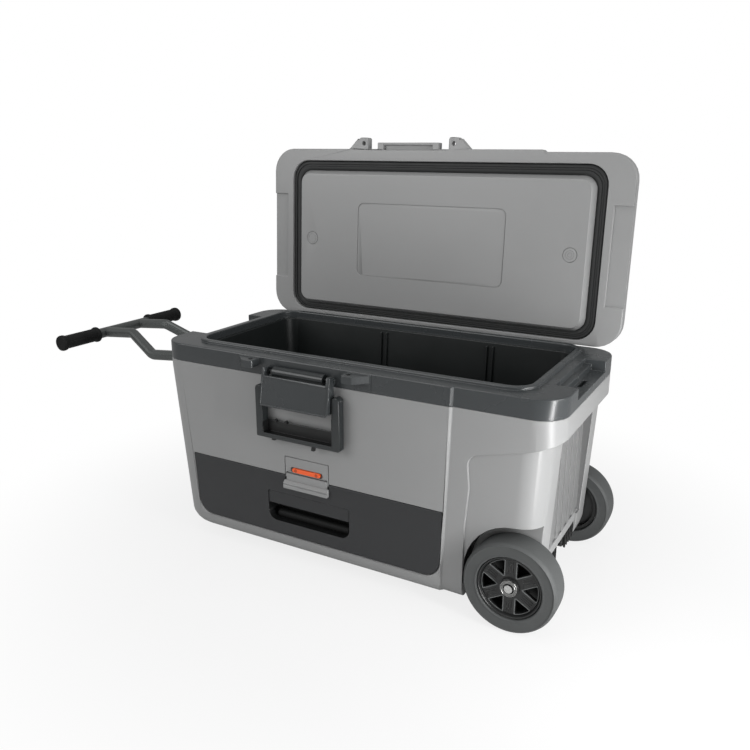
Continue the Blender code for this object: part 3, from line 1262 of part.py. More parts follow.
def make_handle_mount(side, label):
    """Bracket on the body's end with two ears round one arm, and the pin through them."""
    pivot_point = (HANDLE_PIVOT_X, HANDLE_PIVOT_HEIGHT)
    plate_front = HANDLE_PIVOT_X + EAR_RADIUS + EAR_CLEARANCE
    outline = [(wall_x(MOUNT_TOP), MOUNT_TOP), (plate_front, MOUNT_TOP)]
    outline += arc(pivot_point, EAR_RADIUS, 0.5 * math.pi, 1.5 * math.pi, 2 * FOOT_STEPS)
    outline += [(plate_front, MOUNT_FOOT), (wall_x(MOUNT_FOOT), MOUNT_FOOT), (wall_x(DRAFT_TOP), DRAFT_TOP)]
    inner = HANDLE_TUBE_RADIUS + EAR_CLEARANCE
    outer = inner + EAR_THICKNESS
    middle = side * HANDLE_SPREAD
    mount = place("handle_mount_" + label, prism(outline, middle - outer, middle + outer, "Y"), None)
    carve(mount, block((HANDLE_PIVOT_X - OVERRUN, middle - inner, MOUNT_FOOT - OVERRUN),
                       (plate_front, middle + inner, MOUNT_TOP + OVERRUN)))
    bore = HANDLE_PIN_RADIUS + GAP
    carve(mount, rod(pivot_point, bore, middle - HANDLE_SPREAD / 2, middle + HANDLE_SPREAD / 2, "Y"))
    finish(mount, "collar_grey")
    pin = rod(pivot_point, HANDLE_PIN_RADIUS, middle - outer, middle + outer, "Y")
    finish(place("handle_pin_" + label, pin, None), "steel")


def main():
    clear_scene()
    lid_axis = pivot("lid_axis", (0.0, HINGE_Y, HINGE_HEIGHT))
    lever_axis = pivot("latch_lever_axis", (LATCH_X, *barrel_centre()))
    bail_axis = pivot("latch_bail_axis", (LATCH_X, *bail_centre()), lever_axis)
    drawer_axis = pivot("drawer_axis", (POCKET_X, -HALF_DEPTH, tray_top() - TRAY_RIM))
    hinge = (PLATE_X, -HALF_DEPTH + TAB_LEVER_PIVOT_SETBACK, TAB_LEVER_PIVOT)
    tab_axis = pivot("drawer_lift_tab_axis", hinge, drawer_axis)
    key_axis = pivot("drawer_lock_key_axis", (PLATE_X, -HALF_DEPTH, (KEY_BOTTOM + KEY_TOP) / 2), drawer_axis)
    handle_axis = pivot("handle_axis", (HANDLE_PIVOT_X, 0.0, HANDLE_PIVOT_HEIGHT))
    wheel_axes = {label: pivot("wheel_axis_" + label, (WHEEL_X, side * WHEEL_FACE, WHEEL_RADIUS))
                  for side, label in ((-1, "front"), (1, "rear"))}
    shell = make_shell()
    make_ribs(shell)
    make_collar()
    make_tub()
    make_foam()
    make_bay()
    make_runners()
    make_feet()
    make_axle()
    for side, label in ((-1, "front"), (1, "rear")):
        make_wheel(side, label, wheel_axes[label])
    make_lid(lid_axis)
    make_hinges(lid_axis)
    make_barrel()
    make_lever(lever_axis)
    make_bail(bail_axis)
    make_drawer(drawer_axis)
    make_lift_tab(tab_axis)
    make_key(key_axis)
    make_handle(handle_axis)
    lid_axis.rotation_euler.x = -OPEN_ANGLE
    stand = pivot("cooler", (0.0, 0.0, 0.0))
    for item in list(bpy.data.objects):
        if item.parent is None and item is not stand:
            item.parent = stand
    stand.location.z = -UNDERSIDE_HEIGHT


main()
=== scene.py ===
"""Looks of the wheeled cooler: finishes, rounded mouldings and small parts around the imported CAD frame.

Laid out as a Blender add-on and run as a script. Metres, in the same frame as the CAD: the wheels are at +X,
the front with the drawer at -Y, and the floor 28 mm under the body's flat underside.
"""
import json
import math

import bpy
from mathutils import Matrix, Vector


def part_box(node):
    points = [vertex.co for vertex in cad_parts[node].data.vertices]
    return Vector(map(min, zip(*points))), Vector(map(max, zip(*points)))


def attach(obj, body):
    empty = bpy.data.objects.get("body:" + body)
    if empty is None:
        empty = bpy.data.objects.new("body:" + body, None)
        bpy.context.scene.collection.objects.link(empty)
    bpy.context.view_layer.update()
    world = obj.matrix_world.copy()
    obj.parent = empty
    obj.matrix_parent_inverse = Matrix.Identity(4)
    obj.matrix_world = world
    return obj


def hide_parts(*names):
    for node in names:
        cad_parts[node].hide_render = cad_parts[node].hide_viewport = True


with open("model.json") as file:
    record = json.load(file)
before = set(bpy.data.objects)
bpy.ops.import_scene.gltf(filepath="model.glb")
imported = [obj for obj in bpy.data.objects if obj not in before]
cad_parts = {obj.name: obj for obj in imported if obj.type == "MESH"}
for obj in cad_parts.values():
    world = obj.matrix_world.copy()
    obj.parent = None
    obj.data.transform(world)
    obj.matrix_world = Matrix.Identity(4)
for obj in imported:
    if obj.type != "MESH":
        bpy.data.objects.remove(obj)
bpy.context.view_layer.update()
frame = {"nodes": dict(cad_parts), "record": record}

bl_info = {
    "name": "Wheeled cooler looks",
    "version": (1, 0, 0),
    "blender": (4, 5, 0),
    "location": "View3D > Sidebar > Cooler",
    "description": "Finishes, mouldings, wheels, seals and fittings of a wheeled cooler on its CAD frame",
    "category": "Add Mesh",
}

# Places that several pieces share, in metres of the CAD frame
FLOOR_Z = -0.028
FRONT_Y = -0.2086
WHEEL_AXIS = (0.3821, 0.063)
WHEEL_FACE = 0.2267
HINGE_AXIS = (0.2106, 0.4153)
OPEN_ANGLE = math.radians(-93.1)
LATCH_X = -0.0742
LUG_TIP_Y = FRONT_Y - 0.026
PLUG_SPOT = (0.3300, 0.0094)
SIDES = ((-1, "front"), (1, "rear"))

# Rim of a wheel: its face lies behind the tyre's by the web's depth
SPOKES = 6
WEB_DEPTH = 0.0100
OPENING_REACH = 0.0540
OPENING_CORNER = 0.0030

# A spun profile that closes on its axis starts this far from it; the ends of a spin and the corners of the
# CAD are welded when they are this close
ON_AXIS = 0.00001
SPIN_WELD = 0.000001
CAD_WELD = 0.00002

# How far a cutter reaches past the piece that it cuts
OVERCUT = 0.001


def colour_of(name, text, default):
    return bpy.props.FloatVectorProperty(name=name, description=text, subtype="COLOR", size=3,
                                         min=0.0, max=1.0, default=default)


def length_of(name, text, default):
    return bpy.props.FloatProperty(name=name, description=text, subtype="DISTANCE", unit="LENGTH",
                                   min=0.0, precision=4, default=default)


def power_of(name, text, default):
    return bpy.props.FloatProperty(name=name, description=text, unit="POWER", default=default)


class CoolerColours(bpy.types.PropertyGroup):
    shell: colour_of("Shell", "Body, lid and liner plastic", (0.262, 0.264, 0.264))
    collar: colour_of("Collar", "Collar, latch lever and handle mounts", (0.038, 0.042, 0.044))
    latch: colour_of("Latch", "Bail and barrel of the latch", (0.018, 0.021, 0.022))
    drawer: colour_of("Drawer", "Drawer and the lining of its bay", (0.019, 0.0200, 0.0215))
    tub: colour_of("Tub", "Inside of the chest", (0.009, 0.011, 0.011))
    # Painted shade: this near-black tone is laid on the hollow of the pull, the latch pocket, the lug holes
    # and the bail's stops.
    hollow: colour_of("Hollows", "Inside of the pull and of the latch pocket", (0.0045, 0.0050, 0.0050))
    seal: colour_of("Seal", "Rubber of the lid seal and the feet", (0.022, 0.023, 0.023))
    tyre: colour_of("Tyre", "Solid rubber of the tyres", (0.060, 0.063, 0.063))
    # The rim plastic is also laid on the wheel wells, as painted shade.
    rim: colour_of("Rim", "Plastic of the wheel rims and the axle brackets", (0.012, 0.0125, 0.0125))
    tube: colour_of("Tube", "Coating of the handle tubes", (0.078, 0.084, 0.082))
    grip: colour_of("Grip", "Rubber of the hand grips", (0.0040, 0.0043, 0.0043))
    key: colour_of("Lock key", "Orange slider of the drawer lock", (0.860, 0.120, 0.024))
    metal: colour_of("Plated steel", "Axle, pins, hinge leaves and runners", (0.560, 0.560, 0.550))
    foam: colour_of("Foam", "Insulation inside the walls", (0.800, 0.780, 0.700))


class CoolerSizes(bpy.types.PropertyGroup):
    shell_edge: length_of("Shell edge", "Rounding of the shell's moulded edges", 0.0013)
    fine_edge: length_of("Fine edge", "Rounding on the small mouldings", 0.0007)
    spoke_width: length_of("Spoke width", "Width of one flat spoke", 0.024)
    seal_rib: length_of("Seal rib", "Height of the ribs on the lid seal", 0.0026)
    grip_ring: length_of("Grip ring", "Depth of the rings round the hand grips", 0.0005)


class CoolerStudio(bpy.types.PropertyGroup):
    sky: bpy.props.FloatProperty(name="Sky", description="Strength of the even light from all round",
                                 default=0.40)
    key_light: power_of("Key light", "Power of the large lamp at the wheel end", 18.0)
    fill_light: power_of("Fill light", "Power of the lamp at the front", 28.0)
    strip_light: power_of("Strip light", "Power of the narrow lamp beside the front corner", 6.2)
    top_light: power_of("Top light", "Power of the lamp overhead", 16.0)
    lens: bpy.props.FloatProperty(name="Lens", description="Focal length of the camera in millimetres",
                                  default=36.872)


# Finishes

def new_material(name):
    made = bpy.data.materials.new(name)
    made.use_nodes = True
    tree = made.node_tree
    return made, tree, tree.nodes["Principled BSDF"]


def noise(tree, scale, detail, rough=0.5, stretch=(1.0, 1.0, 1.0)):
    """Noise on the piece's own Object coordinates."""
    place = tree.nodes.new("ShaderNodeTexCoord")
    turn = tree.nodes.new("ShaderNodeMapping")
    turn.inputs["Scale"].default_value = stretch
    made = tree.nodes.new("ShaderNodeTexNoise")
    made.inputs["Scale"].default_value = scale
    made.inputs["Detail"].default_value = detail
    made.inputs["Roughness"].default_value = rough
    tree.links.new(place.outputs["Object"], turn.inputs["Vector"])
    tree.links.new(turn.outputs["Vector"], made.inputs["Vector"])
    return made.outputs["Fac"]


def between(tree, value, low, high):
    """A value from low to high by the middle of the noise's range."""
    made = tree.nodes.new("ShaderNodeMapRange")
    made.inputs["From Min"].default_value = 0.3
    made.inputs["From Max"].default_value = 0.7
    made.inputs["To Min"].default_value = low
    made.inputs["To Max"].default_value = high
    tree.links.new(value, made.inputs["Value"])
    return made.outputs["Result"]


def shaded(tree, value, colour, swing):
    """The colour, a little darker and lighter by the noise."""
    made = tree.nodes.new("ShaderNodeMix")
    made.data_type = "RGBA"
    made.inputs["A"].default_value = (*(part * (1 - swing) for part in colour), 1.0)
    made.inputs["B"].default_value = (*(min(part * (1 + swing), 1.0) for part in colour), 1.0)
    tree.links.new(value, made.inputs["Factor"])
    return made.outputs["Result"]


def bump(tree, heights, shader):
    """Several heights in metres, one on the other, as the surface's relief."""
    last = None
    for value, distance in heights:
        made = tree.nodes.new("ShaderNodeBump")
        made.inputs["Strength"].default_value = 1.0
        made.inputs["Distance"].default_value = distance
        tree.links.new(value, made.inputs["Height"])
        if last:
            tree.links.new(last, made.inputs["Normal"])
        last = made.outputs["Normal"]
    tree.links.new(last, shader.inputs["Normal"])


def moulded_plastic(name, colour, gloss, grain):
    """Injection-moulded plastic: fine spark-eroded grain, a faint flow pattern and uneven gloss."""
    made, tree, shader = new_material(name)
    grains = noise(tree, scale=1150.0, detail=3.0, rough=0.6)
    cloud = noise(tree, scale=7.0, detail=4.0, rough=0.55)
    flow = noise(tree, scale=26.0, detail=2.0, rough=0.5, stretch=(0.35, 1.0, 1.6))
    flow_height, uneven = 0.00012, 0.035
    tree.links.new(shaded(tree, cloud, colour, uneven), shader.inputs["Base Color"])
    tree.links.new(between(tree, cloud, gloss - uneven, gloss + uneven), shader.inputs["Roughness"])
    bump(tree, ((grains, grain), (flow, flow_height)), shader)
    return made


def rubber(name, colour, gloss, grain=0.00012, specular=0.4):
    """Matt rubber with a coarse grain and a little dust."""
    made, tree, shader = new_material(name)
    grains = noise(tree, scale=620.0, detail=4.0, rough=0.65)
    dust = noise(tree, scale=16.0, detail=5.0, rough=0.6)
    tree.links.new(shaded(tree, dust, colour, 0.16), shader.inputs["Base Color"])
    tree.links.new(between(tree, dust, gloss - 0.06, gloss + 0.07), shader.inputs["Roughness"])
    shader.inputs["Specular IOR Level"].default_value = specular
    bump(tree, ((grains, grain),), shader)
    return made


def coated_tube(name, colour):
    """Satin powder coat with its fine orange peel."""
    made, tree, shader = new_material(name)
    peel = noise(tree, scale=420.0, detail=2.0, rough=0.4)
    peel_height = 0.00008
    cloud = noise(tree, scale=12.0, detail=3.0, rough=0.5)
    tree.links.new(shaded(tree, cloud, colour, 0.05), shader.inputs["Base Color"])
    tree.links.new(between(tree, cloud, 0.27, 0.36), shader.inputs["Roughness"])
    shader.inputs["Metallic"].default_value = 0.35
    bump(tree, ((peel, peel_height),), shader)
    return made


def plated_steel(name, colour):
    """Bright plated steel with faint drawing lines."""
    made, tree, shader = new_material(name)
    lines = noise(tree, scale=300.0, detail=3.0, rough=0.6, stretch=(1.0, 0.08, 1.0))
    line_height = 0.00003
    tree.links.new(shaded(tree, lines, colour, 0.08), shader.inputs["Base Color"])
    tree.links.new(between(tree, lines, 0.20, 0.34), shader.inputs["Roughness"])
    shader.inputs["Metallic"].default_value = 1.0
    bump(tree, ((lines, line_height),), shader)
    return made


def rigid_foam(name, colour):
    """Foamed insulation with its fine cells."""
    made, tree, shader = new_material(name)
    cells = noise(tree, scale=380.0, detail=4.0, rough=0.7)
    cell_height = 0.0004
    tree.links.new(shaded(tree, cells, colour, 0.08), shader.inputs["Base Color"])
    shader.inputs["Roughness"].default_value = 0.9
    bump(tree, ((cells, cell_height),), shader)
    return made


FINISHES = {}
FINISH_OF = {
    "shell": ("outer_shell", "lid_shell", "lid_liner", "lid_plug_left", "lid_plug_right",
              "drawer_latch_plate", "drawer_lift_tab"),
    "collar": ("collar", "latch_lever", "handle_mount_front", "handle_mount_rear"),
    "latch": ("latch_barrel", "latch_bail", "latch_pin"),
    "drawer": ("drawer_front", "drawer_pull_visor", "drawer_tray", "drawer_bay"),
    "tub": ("inner_tub",),
    "foam": ("body_foam", "lid_foam"),
    "seal": ("lid_gasket", "foot_front", "foot_rear"),
    "grip": ("handle_grip_front", "handle_grip_rear"),
    "bracket": ("axle_bracket_front", "axle_bracket_rear"),
    "tyre": ("tyre_front", "tyre_rear"),
    "rim": ("wheel_rim_front", "wheel_rim_rear"),
    "metal": ("axle", "axle_cap_front", "axle_cap_rear", "bail_pin_left", "bail_pin_right",
              "hinge_pin_left", "hinge_pin_right", "hinge_leaf_lower_left", "hinge_leaf_lower_right",
              "hinge_leaf_upper_left", "hinge_leaf_upper_right", "handle_pin_front", "handle_pin_rear",
              "drawer_runner_left", "drawer_runner_right"),
    "tube": ("handle_arm_front", "handle_arm_rear", "handle_crossbar"),
    "key": ("drawer_lock_key",),
}


def toned(colour, factor):
    """A darker or lighter tone of a colour."""
    return [part * factor for part in colour]


def make_finishes(colours):
    """Make every finish: plastics by their gloss and height of grain, then rubbers, metals and foam."""
    for finish, name, colour, gloss, grain in (
            ("shell", "shell plastic", colours.shell, 0.34, 0.00006),
            # painted shade: the grip recess takes the shell plastic at 0.60, with its own gloss and grain
            ("recess", "recess plastic with painted shade", toned(colours.shell, 0.60), 0.42, 0.00012),
            ("collar", "collar plastic", colours.collar, 0.27, 0.00006),
            ("latch", "latch plastic", colours.latch, 0.30, 0.00007),
            ("drawer", "drawer plastic", colours.drawer, 0.42, 0.00008),
            ("tub", "tub plastic", colours.tub, 0.38, 0.00004),
            # painted shade for the hollows, pockets, holes and stops
            ("hollow", "painted shade plastic", colours.hollow, 0.46, 0.00006),
            ("rim", "rim plastic", colours.rim, 0.33, 0.00005),
            # painted highlight: the rim's lips take the rim plastic eight times lighter
            ("rim_painted_highlight", "rim plastic with painted highlight", toned(colours.rim, 8.0), 0.24, 0.00003),
            ("bracket", "bracket plastic", colours.rim, 0.45, 0.00010),
            ("key", "key plastic", colours.key, 0.34, 0.00004),
            # painted shade: the key's dimples take the orange at 0.45
            ("dimple", "key dimple plastic with painted shade", toned(colours.key, 0.45), 0.5, 0.00004)):
        FINISHES[finish] = moulded_plastic(name, colour, gloss, grain)
    FINISHES["seal"] = rubber("seal rubber", colours.seal, 0.55)
    FINISHES["tyre"] = rubber("tyre rubber", colours.tyre, 0.60, grain=0.00018)
    FINISHES["grip"] = rubber("grip rubber", colours.grip, 0.60, specular=0.22)
    FINISHES["tube"] = coated_tube("tube coating", colours.tube)
    FINISHES["metal"] = plated_steel("plated steel", colours.metal)
    FINISHES["washer"] = plated_steel("dull washer steel", toned(colours.metal, 0.45))
    FINISHES["foam"] = rigid_foam("rigid foam", colours.foam)


# Modelling helpers

def bare():
    """Leave edit mode with nothing selected."""
    if bpy.context.object and bpy.context.object.mode != "OBJECT":
        bpy.ops.object.mode_set(mode="OBJECT")
    bpy.ops.object.select_all(action="DESELECT")


def pick(*pieces):
    """Select just these pieces, the first as the active one."""
    bare()
    for piece in pieces:
        piece.select_set(True)
    bpy.context.view_layer.objects.active = pieces[0]
    return pieces[0]


def settle(piece):
    """Put the piece's place into its mesh, with its object at the origin."""
    pick(piece)
    bpy.ops.object.transform_apply(location=True, rotation=True, scale=True)
    return piece


def disc(centre, radius, depth, axis, sides=48):
    """A cylinder primitive about its centre, along one axis."""
    bare()
    turn = {"X": (0.0, math.pi / 2, 0.0), "Y": (-math.pi / 2, 0.0, 0.0), "Z": (0.0, 0.0, 0.0)}[axis]
    bpy.ops.mesh.primitive_cone_add(vertices=sides, radius1=radius, radius2=radius, depth=depth,
                                    location=centre, rotation=turn)
    return settle(bpy.context.object)


def slab(low, high):
    """A box primitive from its low corner to its high corner."""
    bare()
    middle = [(a + b) / 2 for a, b in zip(low, high)]
    bpy.ops.mesh.primitive_cube_add(size=1.0, location=middle)
    piece = bpy.context.object
    piece.scale = [b - a for a, b in zip(low, high)]
    return settle(piece)


def piece_box(piece):
    """Low and high corners of a piece in world space."""
    spots = [piece.matrix_world @ vertex.co for vertex in piece.data.vertices]
    return tuple(tuple(edge(spot[axis] for spot in spots) for axis in range(3)) for edge in (min, max))


def rounded_plane(left, right, front, rear, height, radius, segments, turn=(0.0, 0.0, 0.0)):
    """A plane with round corners, left in edit mode with all of it selected.

    The bevel's width is the chord of a corner's arc.
    """
    bare()
    bpy.ops.mesh.primitive_plane_add(size=1.0, location=((left + right) / 2, (front + rear) / 2, height),
                                     rotation=turn)
    plane = bpy.context.object
    plane.scale = (right - left, rear - front, 1.0)
    settle(plane)
    bpy.ops.object.mode_set(mode="EDIT")
    bpy.ops.mesh.select_all(action="SELECT")
    bpy.ops.mesh.bevel(offset=radius * math.sqrt(2.0), offset_type="WIDTH", segments=segments,
                       affect="VERTICES")
    bpy.ops.mesh.select_all(action="SELECT")
    return plane


def rounded_plate(left, right, front, rear, low, high, radius):
    """A flat plate with round corners."""
    plate = rounded_plane(left, right, front, rear, low, radius, 12)
    bpy.ops.mesh.extrude_region_move(TRANSFORM_OT_translate={"value": (0.0, 0.0, high - low)})
    bpy.ops.mesh.select_all(action="SELECT")
    bpy.ops.mesh.normals_make_consistent(inside=False)
    bare()
    return plate


def spun(profile, centre, axis="Y", steps=96):
    """A closed profile of (radius, distance along the axis), spun about an axis through centre."""
    bare()
    bpy.ops.mesh.primitive_circle_add(vertices=len(profile), radius=1.0)
    piece = bpy.context.object
    order = {"X": lambda r, a: (a, 0.0, r),
             "Y": lambda r, a: (r, a, 0.0),
             "Z": lambda r, a: (r, 0.0, a)}[axis]
    for vertex, (radius, along) in zip(piece.data.vertices, profile):
        vertex.co = Vector(centre) + Vector(order(radius, along))
    bpy.ops.object.mode_set(mode="EDIT")
    bpy.ops.mesh.select_all(action="SELECT")
    way = {"X": (1, 0, 0), "Y": (0, 1, 0), "Z": (0, 0, 1)}[axis]
    bpy.ops.mesh.spin(steps=steps, angle=2 * math.pi, center=centre, axis=way)
    bpy.ops.mesh.select_all(action="SELECT")
    bpy.ops.mesh.remove_doubles(threshold=SPIN_WELD)
    bpy.ops.mesh.normals_make_consistent(inside=False)
    bare()
    return piece


def cut(piece, other, operation="DIFFERENCE"):
    """Cut the other piece out of this one, or keep what both share, and remove the other."""
    step = piece.modifiers.new("cut", "BOOLEAN")
    step.operation = operation
    step.solver = "EXACT"
    step.object = other
    pick(piece)
    bpy.ops.object.modifier_apply(modifier=step.name)
    bpy.data.objects.remove(other, do_unlink=True)
    return piece


def rounded_edges(piece, width, segments=2, angle=30.0, even=False):
    """Bevel the piece's sharp edges, and keep what a tight corner throws out inside the piece's own box.

    Where asked, the flat faces are first cut into even triangles, which keeps slivers out of broad faces.
    """
    low, high = piece_box(piece)
    pick(piece)
    bpy.ops.object.mode_set(mode="EDIT")
    bpy.ops.mesh.select_all(action="SELECT")
    bpy.ops.mesh.quads_convert_to_tris(quad_method="BEAUTY", ngon_method="BEAUTY")
    if even:
        bpy.ops.mesh.beautify_fill(angle_limit=math.radians(0.5))
    bare()
    step = piece.modifiers.new("edge", "BEVEL")
    step.width = width
    step.segments = segments
    step.limit_method = "ANGLE"
    step.angle_limit = math.radians(angle)
    step.use_clamp_overlap = False
    step.miter_outer = "MITER_ARC"
    pick(piece)
    bpy.ops.object.modifier_apply(modifier=step.name)
    for vertex in piece.data.vertices:
        vertex.co = [min(max(place, a), b) for place, a, b in zip(vertex.co, low, high)]
    return piece


def even_shade(piece, angle=40.0):
    """Smooth shading that keeps broad faces flat beside their rounded edges."""
    pick(piece)
    bpy.ops.object.shade_smooth_by_angle(angle=math.radians(angle))
    step = piece.modifiers.new("weights", "WEIGHTED_NORMAL")
    step.keep_sharp = True
    step.weight = 80
    bpy.ops.object.modifier_apply(modifier=step.name)
    return piece


def joined(pieces):
    """Join the pieces into the first one."""
    pick(*pieces)
    if len(pieces) > 1:
        bpy.ops.object.join()
    return bpy.context.object


def copied(piece, matrix):
    """A copy with its own mesh, moved by a matrix."""
    made = piece.copy()
    made.data = piece.data.copy()
    bpy.context.collection.objects.link(made)
    made.matrix_world = matrix @ made.matrix_world
    return settle(made)


def turn_about(centre, angle, axis):
    """The matrix of a turn about an axis through centre."""
    spot = Matrix.Translation(Vector(centre))
    return spot @ Matrix.Rotation(angle, 4, axis) @ spot.inverted()


def turned(piece, angle, axis, centre):
    """Turn the piece about an axis through centre."""
    piece.matrix_world = turn_about(centre, angle, axis) @ piece.matrix_world
    return settle(piece)


def opened(piece):
    """Turn a piece that was modelled on the closed lid to the open lid's place."""
    return turned(piece, OPEN_ANGLE, "X", (0.0, *HINGE_AXIS))


def closed(piece):
    """Turn a piece of the open lid back to where it lies when the lid is closed."""
    return turned(piece, -OPEN_ANGLE, "X", (0.0, *HINGE_AXIS))


def fitted(piece, name, body, finish, stands_for=()):
    """Name the piece, give it its finish and tie it to its body."""
    piece.name = name
    piece.data.name = name
    piece.data.materials.clear()
    piece.data.materials.append(FINISHES[finish])
    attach(piece, body)
    if stands_for:
        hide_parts(*stands_for)
    return piece


def body_of(node):
    """The body that holds a CAD node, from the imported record."""
    for name, nodes in frame["record"]["behaviour"]["bodies"].items():
        if node in nodes:
            return name
    raise RuntimeError("no body holds the node " + node)


def node_form(node, width, angle=30.0, even=False):
    """A copy of the CAD node's own form, with its edges rounded where a width is given."""
    source = frame["nodes"][node]
    made = source.copy()
    made.data = source.data.copy()
    made.parent = None
    bpy.context.collection.objects.link(made)
    made.matrix_world = source.matrix_world
    settle(made)
    bpy.ops.object.mode_set(mode="EDIT")
    bpy.ops.mesh.select_all(action="SELECT")
    bpy.ops.mesh.remove_doubles(threshold=CAD_WELD)
    bare()
    if width:
        rounded_edges(made, width, angle=angle, even=even)
    return made


def finish_for(node):
    """The finish that a CAD node has."""
    return next(name for name, nodes in FINISH_OF.items() if node in nodes)


def standing_for(piece, node):
    """Shade a finished form and let it stand for its CAD node."""
    even_shade(piece)
    return fitted(piece, node + "_moulding", body_of(node), finish_for(node), (node,))


def moulding(node, width, angle=30.0):
    """The CAD node's own form with rounded edges, standing for it."""
    return standing_for(node_form(node, width, angle=angle), node)


def split_off(piece, inside):
    """The faces of a piece whose middles pass a test, as a piece of their own."""
    pick(piece)
    bpy.ops.object.mode_set(mode="EDIT")
    bpy.ops.mesh.select_mode(type="FACE")
    bpy.ops.mesh.select_all(action="DESELECT")
    bpy.ops.object.mode_set(mode="OBJECT")
    for face in piece.data.polygons:
        face.select = inside(face.center)
    bpy.ops.object.mode_set(mode="EDIT")
    bpy.ops.mesh.separate(type="SELECTED")
    bpy.ops.object.mode_set(mode="OBJECT")
    part = next(item for item in bpy.context.selected_objects if item != piece)
    bare()
    return part


def inside_box(low, high):
    """A test for spots between two corners."""
    return lambda spot: all(a < place < b for a, place, b in zip(low, spot, high))


def round_corner(piece, corner, way, radius, span, axis="Y"):
    """Round one outer corner of a plate whose outline lies across the axis; way points out of the corner."""
    centre = [place - out * radius for place, out in zip(corner, way)]
    far = [place + out * 2 * OVERCUT for place, out in zip(corner, way)]
    lows = [min(a, b) for a, b in zip(centre, far)]
    highs = [max(a, b) for a, b in zip(centre, far)]
    middle, depth = (span[0] + span[1]) / 2, (span[1] - span[0]) * 1.2
    if axis == "Y":
        cutter = slab((lows[0], span[0], lows[1]), (highs[0], span[1], highs[1]))
        keep = disc((centre[0], middle, centre[1]), radius, depth, "Y", 64)
    else:
        cutter = slab((lows[0], lows[1], span[0]), (highs[0], highs[1], span[1]))
        keep = disc((centre[0], centre[1], middle), radius, depth, "Z", 64)
    cut(cutter, keep)
    return cut(piece, cutter)


def spoke_angle(steps):
    """The turn about the wheel's axis after so many spokes."""
    return math.radians(360.0 / SPOKES * steps)


class CoolerOperator:
    """What every operator of the cooler shares."""
    bl_options = {"REGISTER", "UNDO"}

    @property
    def sizes(self):
        return bpy.context.scene.cooler_sizes


class COOLER_OT_finishes(bpy.types.Operator, CoolerOperator):
    """Make the finishes and lay them on every CAD node"""
    bl_idname = "cooler.finishes"
    bl_label = "Finishes"

    def execute(self, context):
        make_finishes(context.scene.cooler_colours)
        for finish, nodes in FINISH_OF.items():
            for node in nodes:
                for slot in frame["nodes"][node].material_slots:
                    slot.material = FINISHES[finish]
        return {"FINISHED"}


